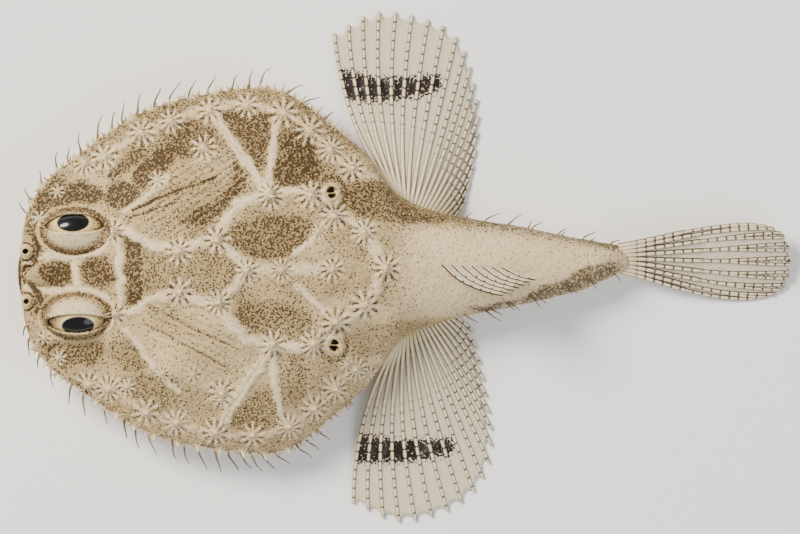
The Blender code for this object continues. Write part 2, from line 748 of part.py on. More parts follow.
def caudal_rays():
    """Rays of the tail fin, which lies over on its left side as the photo shows it."""
    roll = Matrix.Rotation(math.radians(-CAUDAL_ROLL), 3, "X")
    rays = []
    for k in range(CAUDAL_RAYS):
        share = 2 * k / (CAUDAL_RAYS - 1) - 1
        root_up = CAUDAL_ROOT_SHIFT + CAUDAL_ROOT_HALF * share
        tip_up = CAUDAL_TIP_HALF * math.sin(share * math.pi / 2)
        length = CAUDAL_LENGTH * (1 - 0.24 * abs(share) ** 2.6)

        def ray(t, root_up=root_up, tip_up=tip_up, length=length):
            up = root_up + (tip_up - root_up) * math.sin(t * math.pi / 2) ** 1.2
            offset = roll @ Vector((0, 0, up))
            return Vector((TAIL_END + GAP + length * t, 0, CAUDAL_ROOT_Z - CAUDAL_DROP * t)) + offset

        rays.append(ray)
    return rays


def dorsal_rays(find):
    """Rays of the small dorsal fin, laid back and over to the left."""
    lean = Vector((0, -math.sin(math.radians(DORSAL_LEAN)), math.cos(math.radians(DORSAL_LEAN))))
    rays = []
    for k in range(DORSAL_RAYS):
        share = k / (DORSAL_RAYS - 1)
        x = DORSAL_BASE[0] + (DORSAL_BASE[1] - DORSAL_BASE[0]) * share
        y = DORSAL_ASIDE * (1 - share)
        root, _ = find(x, y)
        root = Vector((x, y, root.z - DORSAL_SUNK))
        reach = DORSAL_REACH * (1 - 0.6 * share)
        rake = DORSAL_RAKE * (1 - 0.44 * share)
        tip = root + lean * reach + Vector((rake, 0, 0.5))
        bend = root + lean * reach * 0.75 + Vector((rake * 0.3, 0, 0.6))
        rays.append(lambda t, root=root, bend=bend, tip=tip: bezier(root, bend, tip, t))
    return rays


def anal_rays(find):
    """Rays of the anal fin, laid back under the tail to the floor."""
    rays = []
    for k in range(ANAL_RAYS):
        share = k / (ANAL_RAYS - 1)
        x = ANAL_BASE[0] + (ANAL_BASE[1] - ANAL_BASE[0]) * share
        root, _ = find(x, 0, from_above=False)
        root = Vector((x, 0, root.z + 0.5))
        tip_x, tip_y = (start + step * share for start, step in zip(ANAL_TIP, ANAL_TIP_STEP))
        tip = Vector((x + tip_x, tip_y, FOOT_Z))
        bend = Vector((x + 1.2, -0.3, root.z - 1.5))
        rays.append(lambda t, root=root, bend=bend, tip=tip: bezier(root, bend, tip, t))
    return rays


def pelvic_rays(find, side):
    """Rays of one pelvic fin, a short hand under the disc that stands on the floor."""
    rays = []
    x, y = PELVIC_BASE
    for k in range(PELVIC_RAYS):
        share = k / (PELVIC_RAYS - 1)
        angle = math.radians(PELVIC_FAN[0] + (PELVIC_FAN[1] - PELVIC_FAN[0]) * share)
        out = Vector((math.cos(angle), math.sin(angle) * side, 0))
        across = Vector((PELVIC_PALM[0], PELVIC_PALM[1] * side, 0)) * (share - 0.5)
        belly, _ = find(x, y * side, from_above=False)
        root = Vector((x, y * side, belly.z + PELVIC_SUNK)) + across
        length = PELVIC_LENGTH * (0.82 + 0.18 * math.sin(math.pi * share))
        bend = root + out * length * 0.3
        bend.z = PELVIC_WRIST_Z
        tip = root + out * length
        tip.z = FOOT_Z
        rays.append(lambda t, root=root, bend=bend, tip=tip: bezier(root, bend, tip, t))
    return rays


def flatten_feet(obj):
    """Presses whatever would pass the floor onto it, as small flats at one level."""
    for vertex in obj.data.vertices:
        vertex.co.z = max(vertex.co.z, 0.0)


def material(name, colour, roughness):
    """A plain skin material."""
    made = bpy.data.materials.new(name)
    made.use_nodes = True
    shader = made.node_tree.nodes["Principled BSDF"]
    shader.inputs["Base Color"].default_value = (*colour, 1)
    shader.inputs["Roughness"].default_value = roughness
    shader.inputs["Metallic"].default_value = 0.0
    return made


def finish(obj, colour, roughness=0.5):
    """Turns an object to metres, gives it its material and shades it smooth."""
    obj.data.transform(Matrix.Diagonal((METRES_PER_MM,) * 3 + (1,)))
    obj.data.materials.clear()
    obj.data.materials.append(material(obj.name, colour, roughness))
    obj.data.shade_smooth()
    obj.data.set_sharp_from_angle(angle=math.radians(SHARP_ANGLE))


def main():
    """Builds every node of the fish."""
    for obj in list(bpy.data.objects):
        bpy.data.objects.remove(obj)
    rng = random.Random(SEED)
    path = whole_outline(720)
    body = body_object("body", 120)
    swollen = body_object("swollen", 120, swell=GAP)
    find = skin_finder(body)

    pieces = face_pieces() + gill_pieces(find) + stars(find, rng) + fringe(path, rng)
    boolean(body, pieces, "UNION")
    boolean(body, cutters(find), "DIFFERENCE")
    boolean(body, gill_flaps(find), "UNION")
    half_gap = GAP / 2
    finish(slice_of(body, "head", None, HEAD_CUT - half_gap), SKIN)
    finish(slice_of(body, "disc", HEAD_CUT + half_gap, TAIL_CUT - half_gap), SKIN)
    finish(slice_of(body, "tail", TAIL_CUT + half_gap, TAIL_END), SKIN)
    bpy.data.objects.remove(body)

    fins = [("caudal_fin", fin("caudal_fin", caudal_rays(), 9, 0.04, membrane=0.25))]
    for side_name, side in SIDES:
        name = f"pectoral_fin_{side_name}"
        fins.append((name, fin(name, pectoral_rays(side_name), 9, 0.05)))
        name = f"pelvic_fin_{side_name}"
        fins.append((name, fin(name, pelvic_rays(find, side), 8, 0.12, root_swell=1.6)))
    fins.append(("dorsal_fin", fin("dorsal_fin", dorsal_rays(find), 6, 0.1)))
    fins.append(("anal_fin", fin("anal_fin", anal_rays(find), 6, 0.12)))
    for name, obj in fins:
        if name != "caudal_fin":
            cutter = bpy.data.objects.new("cutter", swollen.data.copy())
            bpy.context.scene.collection.objects.link(cutter)
            boolean(obj, [cutter], "DIFFERENCE")
        keep_largest(obj)
        flatten_feet(obj)
        finish(obj, FIN)
    bpy.data.objects.remove(swollen)

    for side_name, side in SIDES:
        place = (EYE_X, EYE_Y * side, EYE_Z)
        finish(ellipsoid(f"eye_{side_name}", place, EYE_RADII, 3), EYE, 0.1)
    finish(ellipsoid("lure", LURE_AT, LURE_RADII, 2), LURE)


main()
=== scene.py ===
"""The looks of a pancake batfish, a flat bottom-living fish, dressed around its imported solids.

Shapes are worked out in millimetres, in the frame of the solids, and turned to metres as a piece is
made. The head points to -X, the back is up and +Y is the fish's right side.
"""

import logging
import math
import random
from collections.abc import Callable, Iterator, Sequence
from dataclasses import dataclass, field
from enum import Enum
from functools import partial
from itertools import product
from typing import Any

import bmesh
import bpy
import numpy as np
from bpy.types import Material, Mesh, Node, NodeSocket, Object
from mathutils import Matrix, Quaternion, Vector
from mathutils.bvhtree import BVHTree
from mathutils.kdtree import KDTree

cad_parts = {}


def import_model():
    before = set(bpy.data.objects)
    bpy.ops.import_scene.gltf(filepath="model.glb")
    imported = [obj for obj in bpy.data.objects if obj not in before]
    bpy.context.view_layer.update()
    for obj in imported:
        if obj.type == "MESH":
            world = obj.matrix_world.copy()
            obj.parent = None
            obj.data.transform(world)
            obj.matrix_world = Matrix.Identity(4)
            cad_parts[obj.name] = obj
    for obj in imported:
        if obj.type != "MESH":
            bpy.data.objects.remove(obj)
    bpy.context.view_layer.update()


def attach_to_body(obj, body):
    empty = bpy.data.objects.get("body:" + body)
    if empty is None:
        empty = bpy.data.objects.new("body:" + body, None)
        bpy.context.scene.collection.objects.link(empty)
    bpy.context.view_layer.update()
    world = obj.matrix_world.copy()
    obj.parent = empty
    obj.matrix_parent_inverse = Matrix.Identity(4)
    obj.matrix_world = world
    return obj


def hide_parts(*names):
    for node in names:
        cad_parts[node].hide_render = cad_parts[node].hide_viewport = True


log = logging.getLogger("batfish")

MM = 0.001
TAU = math.tau
PATCH = 0.003  # how wide a part's patch on the skin's map is
FINE_STEPS = 24  # between two points that a smooth path passes through
LOWEST = 0.02  # the lowest height of any added part, in mm
OFF_SKIN = (0.5, 0.5)  # the place on a map for what doesn't grow from the skin
RIM_POINTS = 1440  # of the outline that spines and threads are planted along
BOTH, RIGHT, LEFT = (1, -1), (1,), (-1,)
Array = np.ndarray
Point2 = tuple[float, float]
Point3 = tuple[float, float, float]
Flat = tuple[float, ...]  # x, y, x, y and so on
Numbers = tuple[int, ...]  # of the points of a face
Planted = tuple[Vector, Vector]  # a point of a surface and its normal
Inputs = dict[str | int, Any] | tuple[Any, ...]  # of a node, by name or number, or in order
Ray = Callable[[float], Vector]


class Side(Enum):
    """A side of the fish; the value is the sign of its y."""

    RIGHT = 1
    LEFT = -1


class Wetness(Enum):
    """How much clear shine lies over a surface: damp skin or a wet eye."""

    DAMP = 0.03
    WET = 1.0


def smooth_values(stations: Sequence[Point2], x: Any) -> Array:
    """Reads a smooth curve through (position, value) stations, with no overshoot.

    Args:
        stations: Positions in rising order, each with its value.
        x: Where to read the curve, one number or an array.

    Returns:
        The values there.
    """
    position, value = np.array(stations, float).T
    step = np.diff(position)
    rise = np.diff(value) / step
    slope = np.zeros(len(position))
    same_way = rise[1:] * rise[:-1] > 0
    harmonic = 2 * rise[1:] * rise[:-1] / np.where(same_way, rise[1:] + rise[:-1], 1)
    slope[1:-1] = np.where(same_way, harmonic, 0)
    slope[0], slope[-1] = rise[0], rise[-1]
    x = np.clip(np.asarray(x, float), position[0], position[-1])
    i = np.clip(np.searchsorted(position, x) - 1, 0, len(step) - 1)
    t = (x - position[i]) / step[i]
    start = value[i] * (1 + 2 * t) * (1 - t) ** 2 + slope[i] * step[i] * t * (1 - t) ** 2
    return start + value[i + 1] * t * t * (3 - 2 * t) + slope[i + 1] * step[i] * t * t * (t - 1)


def lengths_along(points: Array) -> Array:
    """How far along a path each of its points lies."""
    return np.append(0, np.cumsum(np.linalg.norm(np.diff(points, axis=0), axis=1)))


def smooth_path(points: Any, count: int, closed: bool = False) -> Array:
    """Spaces points evenly along a smooth curve.

    Args:
        points: The points that the curve passes through.
        count: How many points to give back.
        closed: Whether the curve returns to its first point.

    Returns:
        The points, one a row.
    """
    points = np.array(points, float)
    if closed:
        guides = np.vstack([points[-1], points, points[:2]])
    else:
        guides = np.vstack([2 * points[0] - points[1], points, 2 * points[-1] - points[-2]])
    t = np.linspace(0, 1, FINE_STEPS, endpoint=False)[:, None]
    fine = []
    for a, b, c, d in zip(guides, guides[1:], guides[2:], guides[3:]):
        curve = b * (2 - 5 * t**2 + 3 * t**3) + c * (t + 4 * t**2 - 3 * t**3)
        fine.append(0.5 * (curve + a * (2 * t**2 - t - t**3) + d * (t**3 - t**2)))
    fine = np.vstack(fine + [guides[-2][None]])
    along = lengths_along(fine)
    wanted = np.linspace(0, along[-1], count + 1 if closed else count)
    even = [np.interp(wanted, along, column) for column in fine.T]
    return np.stack(even, axis=1)[: count if closed else None]


def smoothstep(low: float, high: float, x: Any) -> Any:
    """Rises smoothly from 0 at low to 1 at high."""
    t = np.clip((np.asarray(x, float) - low) / (high - low), 0, 1)
    return t * t * (3 - 2 * t)


def bell(distance: Any, width: float) -> Any:
    """A bell curve: 1 at distance 0, about a third at the width."""
    return np.exp(-((distance / width) ** 2))


def path_distance(spots: Array, path: Array) -> Array:
    """Distance in plan of each spot from a path."""
    best = np.full(len(spots), 1e9)
    for a, b in zip(path, path[1:]):
        ab = b - a
        t = np.clip((spots - a) @ ab / max(ab @ ab, 1e-12), 0, 1)
        best = np.minimum(best, np.hypot(*(spots - a - t[:, None] * ab).T))
    return best


def enclosed(spots: Array, loop: Array) -> Array:
    """Tells which spots lie inside a closed loop."""
    inside = np.zeros(len(spots), bool)
    x, y = spots.T
    for a, b in zip(loop, np.roll(loop, -1, axis=0)):
        crosses = (a[1] > y) != (b[1] > y)
        rise = b[1] - a[1] if abs(b[1] - a[1]) > 1e-12 else 1e-12
        inside ^= crosses & (x < a[0] + (y - a[1]) / rise * (b[0] - a[0]))
    return inside


def near_path(spots: Array, path: Array, margin: float, closed: bool = False) -> tuple[Array, Array]:
    """Picks the spots near a path in plan and says where each lies.

    Args:
        spots: Places in plan.
        path: An open line, or a closed loop.
        margin: How far out a spot still counts.
        closed: Whether the path is a loop.

    Returns:
        The numbers of the near spots, and their distance from the line or depth inside the loop.
    """
    low, high = path.min(axis=0) - margin, path.max(axis=0) + margin
    near = np.flatnonzero(np.all((spots > low) & (spots < high), axis=1))
    if not closed:
        return near, path_distance(spots[near], path)
    away = path_distance(spots[near], np.vstack([path, path[:1]]))
    return near, np.where(enclosed(spots[near], path), away, -away)


def bezier(a: Vector, b: Vector, c: Vector, t: float) -> Vector:
    """A point of a curve that leaves a towards b and ends at c."""
    return a * (1 - t) ** 2 + b * 2 * t * (1 - t) + c * t * t


def ring_faces(rings: int, around: int) -> list[Numbers]:
    """Faces between rings of points that follow one another."""
    return [
        (a + i, a + around + i, a + around + (i + 1) % around, a + (i + 1) % around)
        for a, i in product(range(0, (rings - 1) * around, around), range(around))
    ]


class Noise:
    """Smooth seeded noise from a repeating block of random values."""

    def __init__(self, seed: int, size: int = 32) -> None:
        """Draws the block of values between -1 and 1."""
        self.size = size
        self.block = np.random.default_rng(seed).uniform(-1, 1, (size,) * 3)

    def at(self, points: Array, grain: float) -> Array:
        """Reads the noise at points, with features about one grain across."""
        p = points / grain
        low = np.floor(p).astype(int)
        part = p - low
        part = part * part * (3 - 2 * part)
        total = np.zeros(len(points))
        for corner in product((0, 1), repeat=3):
            share = np.prod(np.where(corner, part, 1 - part), axis=1)
            i, j, k = ((low + corner) % self.size).T
            total += share * self.block[i, j, k]
        return total


@dataclass
class BodyShape:
    """The plain form of the body: a flat disc with a thin rim that runs out into a short tail.

    The outline is (x, half width); heights are (x, belly, rim, back); bluntness is (x, how upright the
    side is); a swelling of the back is (x, y, half length, half width, turn in degrees, height).
    """

    outline: tuple[Point2, ...] = (
        (-49.5, 0), (-49.2, 5.5), (-48, 9.2), (-45.5, 12.5), (-42.3, 14.9), (-38, 18), (-33.1, 20.8),
        (-26.9, 22.6), (-20.7, 23.4), (-16.9, 23.4), (-13.5, 22), (-8.4, 17.9), (-5.2, 15.2), (-2.8, 12.1),
        (-0.4, 9.2), (5.2, 6.9), (14.8, 5.1), (24, 3.1), (32, 1.8), (34, 0),
    )
    heights: tuple[Flat, ...] = (
        (-50, 4.4, 6.1, 9), (-43, 4.2, 5.9, 10), (-35, 3.9, 5.5, 12), (-25, 3.4, 5, 13.2),
        (-14, 2.9, 4.5, 13), (-4, 2.5, 4.3, 11.6), (5, 2.1, 4.4, 10), (15, 1.8, 4.2, 7.9),
        (29, 1.4, 3.3, 5.1), (34, 1.3, 3, 4.6),
    )
    bluntness: tuple[Point2, ...] = ((-49.5, 0.9), (-46, 0.35), (-38, 0.1), (-8, 0.12), (0, 0.55), (8, 1))
    swellings: tuple[Flat, ...] = (
        (-45, 0, 6, 3.2, 0, -0.7), (-26, 0, 14, 4, 0, 0.5), (-29, 11.3, 7.5, 3.4, -33, 0.9),
        (-15.5, 14, 5, 2.6, -60, 0.5), (-7, 4.5, 6, 4, -25, 0.5),
    )
    axis_start: float = -38.0
    axis_end: float = 33.0
    rim_share: float = 0.17
    dome_power: float = 1.3
    tail_end: float = 28.9
    around: int = 420
    back_rings: int = 56
    belly_rings: int = 30

    def heights_at(self, x: Any) -> list[Array]:
        """Belly, rim and back height at x."""
        return [smooth_values([(s[0], s[i]) for s in self.heights], x) for i in (1, 2, 3)]

    def swelling_height(self, x: Array, y: Array) -> Array:
        """What the low swellings add to the back at a point."""
        total = np.zeros(np.broadcast(x, y).shape)
        for centre_x, centre_y, along, across, turn, height in self.swellings:
            for side in BOTH if centre_y else RIGHT:
                angle = math.radians(turn * side)
                dx, dy = x - centre_x, y - centre_y * side
                p = (dx * math.cos(angle) + dy * math.sin(angle)) / along
                q = (dy * math.cos(angle) - dx * math.sin(angle)) / across
                total = total + height * np.exp(-(p * p + q * q))
        return total

    def rim(self, count: int) -> Array:
        """The outline in plan, snout first, down the right side and back up the left."""
        left = [(x, -half) for x, half in self.outline[-2:0:-1]]
        return smooth_path(list(self.outline) + left, count, closed=True)

    def ring(self, rim: Array, t: float, top: bool) -> Array:
        """Works out a ring of the body's skin.

        Args:
            rim: The outline in plan.
            t: The share of the way from the body's axis to its rim.
            top: Whether the ring is on the back.

        Returns:
            A point for each point of the rim.
        """
        first, last = self.outline[0][0], self.outline[-1][0]
        axis_x = self.axis_start + (self.axis_end - self.axis_start) * ((rim[:, 0] - first) / (last - first))
        x = axis_x + (rim[:, 0] - axis_x) * t
        y = rim[:, 1] * t
        belly, middle, back = self.heights_at(x)
        blunt = smooth_values(self.bluntness, rim[:, 0])
        ellipse = math.sqrt(1 - t * t)
        if top:
            thin = self.rim_share * math.sqrt(1 - t**12)
            dome = thin + (1 - self.rim_share) * (1 - t * t) ** self.dome_power
            share = (1 - blunt) * dome + blunt * ellipse
            z = middle + (back - middle) * share + self.swelling_height(x, y) * (1 - t**6)
        else:
            flat = math.sqrt(1 - t**6)
            z = middle - (middle - belly) * ((1 - blunt) * flat + blunt * ellipse**0.7)
        return np.stack([x, y, z], axis=1)

    def rings(self, rim: Array) -> tuple[list[Array], list[float]]:
        """Rings from the back's axis over the rim to the belly's axis, each with its share."""
        tops = np.sin(np.linspace(0, math.pi / 2, self.back_rings))
        unders = np.sin(np.linspace(math.pi / 2, 0, self.belly_rings))[1:]
        found = [self.ring(rim, min(t, 1.0), True) for t in tops]
        found += [self.ring(rim, max(t, 0.0), False) for t in unders]
        return found, [*tops, *(2 - unders)]

    def solid(self) -> Object:
        """The plain closed body, in millimetres."""
        found, _ = self.rings(self.rim(self.around))
        return closed_object("body", np.vstack(found), ring_faces(len(found), self.around))

    def station(self, path: Array, x: float, side: int) -> Planted:
        """The outline's point at x on one side, with the direction straight out of it in plan."""
        half = path[: len(path) // 2]
        k = int(np.argmin(np.abs(half[:, 0] - x) + (half[:, 1] < 1) * 5))
        ahead = half[k + 1] - half[k - 1]
        out = Vector((-ahead[1], ahead[0], 0)).normalized()
        height = float(self.heights_at(x)[1])
        return Vector((half[k][0], half[k][1] * side, height)), Vector((out.x, out.y * side, 0))


class Unwrap:
    """A flat map of the body's own skin: two round fields, one for the back and one for the belly."""

    def __init__(self, shape: BodyShape, around: int = 240, radius: float = 0.235) -> None:
        """Indexes points all over the body with their place on the map."""
        found, shares = shape.rings(shape.rim(around))
        self.spots: list[Point2] = []
        self.tree = KDTree(len(found) * around)
        for ring, share in zip(found, shares):
            reach, centre = (radius * share, 0.25) if share <= 1 else (radius * (2 - share), 0.75)
            for i, place in enumerate(ring):
                angle = TAU * i / around
                self.spots.append((centre + reach * math.cos(angle), 0.5 + reach * math.sin(angle)))
                self.tree.insert(Vector(place), len(self.spots) - 1)
        self.tree.balance()

    def at(self, place: Vector) -> Point2:
        """The map's place for a point on the skin."""
        return self.spots[self.tree.find(place)[1]]


def linked(name: str, data: Any) -> Object:
    """Makes an object of a mesh, a lamp or a camera and links it to the scene."""
    obj = bpy.data.objects.new(name, data)
    bpy.context.scene.collection.objects.link(obj)
    return obj


def new_mesh(name: str, points: Any, faces: list[Numbers], scale: float = 1.0) -> Mesh:
    """Makes a mesh of points times a scale and of faces as rows of point numbers."""
    mesh = bpy.data.meshes.new(name)
    mesh.from_pydata([tuple(float(c) * scale for c in p) for p in points], [], faces)
    return mesh


def close_up(mesh: Mesh, distance: float) -> Mesh:
    """Merges the equal points of a closed mesh and turns every face out."""
    bm = bmesh.new()
    bm.from_mesh(mesh)
    bmesh.ops.remove_doubles(bm, verts=bm.verts, dist=distance)
    bmesh.ops.dissolve_degenerate(bm, edges=bm.edges, dist=distance)
    bmesh.ops.recalc_face_normals(bm, faces=bm.faces)
    bm.to_mesh(mesh)
    bm.free()
    return mesh


def closed_object(name: str, points: Any, faces: list[Numbers]) -> Object:
    """Makes a closed object in millimetres, with equal points merged and every face turned out."""
    return linked(name, close_up(new_mesh(name, points, faces), 1e-4))


def ball(centre: Sequence[float], radii: Sequence[float], turn: Matrix | None = None) -> Object:
    """A fine ellipsoid in millimetres, turned about its centre."""
    bm = bmesh.new()
    bmesh.ops.create_icosphere(bm, subdivisions=5, radius=1)
    mesh = bpy.data.meshes.new("ball")
    bm.to_mesh(mesh)
    bm.free()
    mesh.transform(Matrix.Translation(Vector(centre)) @ (turn or Matrix()) @ Matrix.Diagonal((*radii, 1)))
    return linked("ball", mesh)


@dataclass
class Mould:
    """Gathers the parts of one joined mesh, in millimetres, with a tone for each point.

    A tone runs from 0, as pale as the finish goes, to 1, as dark. Each part that grows from the skin
    also has a small patch of the skin's map.
    """

    points: list[Vector] = field(default_factory=list)
    tones: list[float] = field(default_factory=list)
    faces: list[Numbers] = field(default_factory=list)
    spots: list[Point2] = field(default_factory=list)

    def add_point(self, place: Vector, tone: float) -> None:
        """Adds a point with its tone."""
        self.points.append(place)
        self.tones.append(tone)

    def add_face(self, corners: list[tuple[int, Point2]]) -> None:
        """Adds a face, from the number and the map's spot of each corner."""
        self.faces.append(tuple(number for number, _ in corners))
        self.spots += [spot for _, spot in corners]

    def tube(
        self, path: Sequence[Any], radii: Sequence[float], sides: int = 6, flatten: float = 1.0,
        wide: Vector | None = None, tones: Sequence[float] | float = 0.0, edge_tone: float = 0.0,
        patch: Point2 = OFF_SKIN,
    ) -> None:
        """Adds a closed tube.

        Args:
            path: The middle of the tube, point by point.
            radii: Its radius at each point; 0 at an end makes a point there.
            sides: How many sides its section has.
            flatten: How thick the section is, as a share of its width.
            wide: The direction of the section's width.
            tones: The tone at each point, or one for all.
            edge_tone: Painted shade, added to the tone at both edges of a flat tube along its sides.
            patch: The place of its root on the skin's map.
        """
        path = [Vector(p) for p in path]
        last, rings = len(path) - 1, []
        tones = [tones] * len(path) if isinstance(tones, (int, float)) else tones
        for i, (place, radius, tone) in enumerate(zip(path, radii, tones)):
            ahead = (path[min(i + 1, last)] - path[max(i - 1, 0)]).normalized()
            across = wide - ahead * wide.dot(ahead) if wide else ahead.orthogonal()
            across = across.normalized() if across.length > 1e-9 else ahead.orthogonal().normalized()
            thin = ahead.cross(across)
            start, v = len(self.points), patch[1] + PATCH * (i / last - 0.5)
            if radius == 0:
                self.add_point(place, tone)
                rings.append([(start, (patch[0], v))])
                continue
            for k in range(sides):
                c, s = math.cos(TAU * k / sides), math.sin(TAU * k / sides)
                # Painted shade along both edges of a flat tube, where a fin ray meets its web.
                edge = edge_tone * float(smoothstep(0.4, 0.86, abs(c)))
                self.add_point(place + (across * c + thin * s * flatten) * radius, tone + edge)
            spots = [(patch[0] + PATCH * (k / sides - 0.5), v) for k in range(sides + 1)]
            rings.append([(start + k % sides, spot) for k, spot in enumerate(spots)])
        for (a, b), k in product(zip(rings, rings[1:]), range(sides)):
            one = a if len(a) == 1 else a[k : k + 2]
            two = b if len(b) == 1 else b[k : k + 2][::-1]
            self.add_face(one + two)
        for cap in (rings[0][-2::-1], rings[-1][:-1]):
            if len(cap) > 1:
                self.add_face(cap)

    def sheet(self, grid: list[list[Vector]], tones: list[list[float]], thickness: float) -> None:
        """Adds a thin closed sheet.

        Args:
            grid: Columns of points, all of one length.
            tones: A tone for each point.
            thickness: How thick the sheet is.
        """
        columns, rows = len(grid), len(grid[0])
        start, size = len(self.points), columns * rows
        for way, c, r in product(BOTH, range(columns), range(rows)):
            side = grid[min(c + 1, columns - 1)][r] - grid[max(c - 1, 0)][r]
            ahead = grid[c][min(r + 1, rows - 1)] - grid[c][max(r - 1, 0)]
            normal = ahead.cross(side).normalized()
            self.add_point(grid[c][r] + normal * (thickness / 2 * way), tones[c][r])
        quads = []
        for column, r in product(range(0, size - rows, rows), range(rows - 1)):
            a = column + r
            b = a + rows
            quads += [(a, a + 1, b + 1, b), (b + size, b + 1 + size, a + 1 + size, a + size)]
        edge = [*range(0, size, rows), *range(size - rows + 1, size)]
        edge += [*range(size - rows - 1, 0, -rows), *range(rows - 2, 0, -1)]
        quads += [(a, b, b + size, a + size) for a, b in zip(edge, edge[1:] + edge[:1])]
        for quad in quads:
            self.add_face([(start + number, OFF_SKIN) for number in quad])

    def make(self, name: str, material: Material) -> Object:
        """Turns what was gathered into an object in metres."""
        mesh = new_mesh(name, [(p.x, p.y, max(p.z, LOWEST)) for p in self.points], self.faces, MM)
        layer = mesh.uv_layers.new(name="OFBake")
        layer.data.foreach_set("uv", np.array(self.spots, np.float32).ravel())
        return dressed(name, mesh, material, {"tone": np.array(self.tones)})


def tube_object(path: Sequence[Any], radii: Sequence[float], sides: int = 24, *shape: Any) -> Object:
    """A closed tube as an object in millimetres; see Mould.tube for its sizes."""
    mould = Mould()
    mould.tube(path, radii, sides, *shape)
    return closed_object("tube", mould.points, mould.faces)


def dressed(name: str, mesh: Mesh, material: Material, readings: dict[str, Array]) -> Object:
    """Makes a shown object of a mesh in metres.

    Args:
        name: The piece's name.
        mesh: Its mesh.
        material: Its finish.
        readings: Numbers for each point that the finish reads, by name.

    Returns:
        The object.
    """
    for label, values in readings.items():
        layer = mesh.attributes.get(label) or mesh.attributes.new(label, "FLOAT", "POINT")
        layer.data.foreach_set("value", values.astype(np.float32))
    mesh.materials.clear()
    mesh.materials.append(material)
    mesh.shade_smooth()
    return linked(name, mesh)


def attach(piece: Object, slot: str, *nodes: str) -> None:
    """Fixes a piece to the fish and hides the solids that it stands for."""
    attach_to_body(piece, "root")
    if nodes:
        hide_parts(*nodes)
    log.info("%s: %d faces", piece.name, len(piece.data.polygons))


def linear(code: str) -> tuple[float, float, float, float]:
    """Turns an sRGB hex colour to the linear colour that a shader takes."""
    parts = [int(code[i : i + 2], 16) / 255 for i in (1, 3, 5)]
    parts = [c / 12.92 if c <= 0.04045 else ((c + 0.055) / 1.055) ** 2.4 for c in parts]
    return (*parts, 1.0)


class Finish:
    """A new material and its node tree."""

    def __init__(self, name: str) -> None:
        """Makes the material."""
        self.material = bpy.data.materials.new(name)
        self.material.use_nodes = True
        self.tree = self.material.node_tree

    def feed(self, node: Node, inputs: Inputs) -> None:
        """Gives inputs of a node a value, or a link from another node's output."""
        for key, value in inputs.items() if isinstance(inputs, dict) else enumerate(inputs):
            if isinstance(value, NodeSocket):
                self.tree.links.new(value, node.inputs[key])
            else:
                node.inputs[key].default_value = value

    def add(self, kind: str, inputs: Inputs = (), out: str | int = 0, **settings: Any) -> NodeSocket:
        """Adds a node with its settings and links.

        Args:
            kind: The node's type, without ShaderNode before it.
            inputs: A value, or another node's output, for each input.
            out: The output to give back.
            **settings: The node's properties.

        Returns:
            That output.
        """
        node = self.tree.nodes.new("ShaderNode" + kind)
        for key, value in settings.items():
            setattr(node, key, value)
        self.feed(node, inputs)
        return node.outputs[out]

    def made(self, inputs: Inputs) -> Material:
        """Feeds the surface shader and gives back the material."""
        self.feed(self.tree.nodes["Principled BSDF"], inputs)
        return self.material


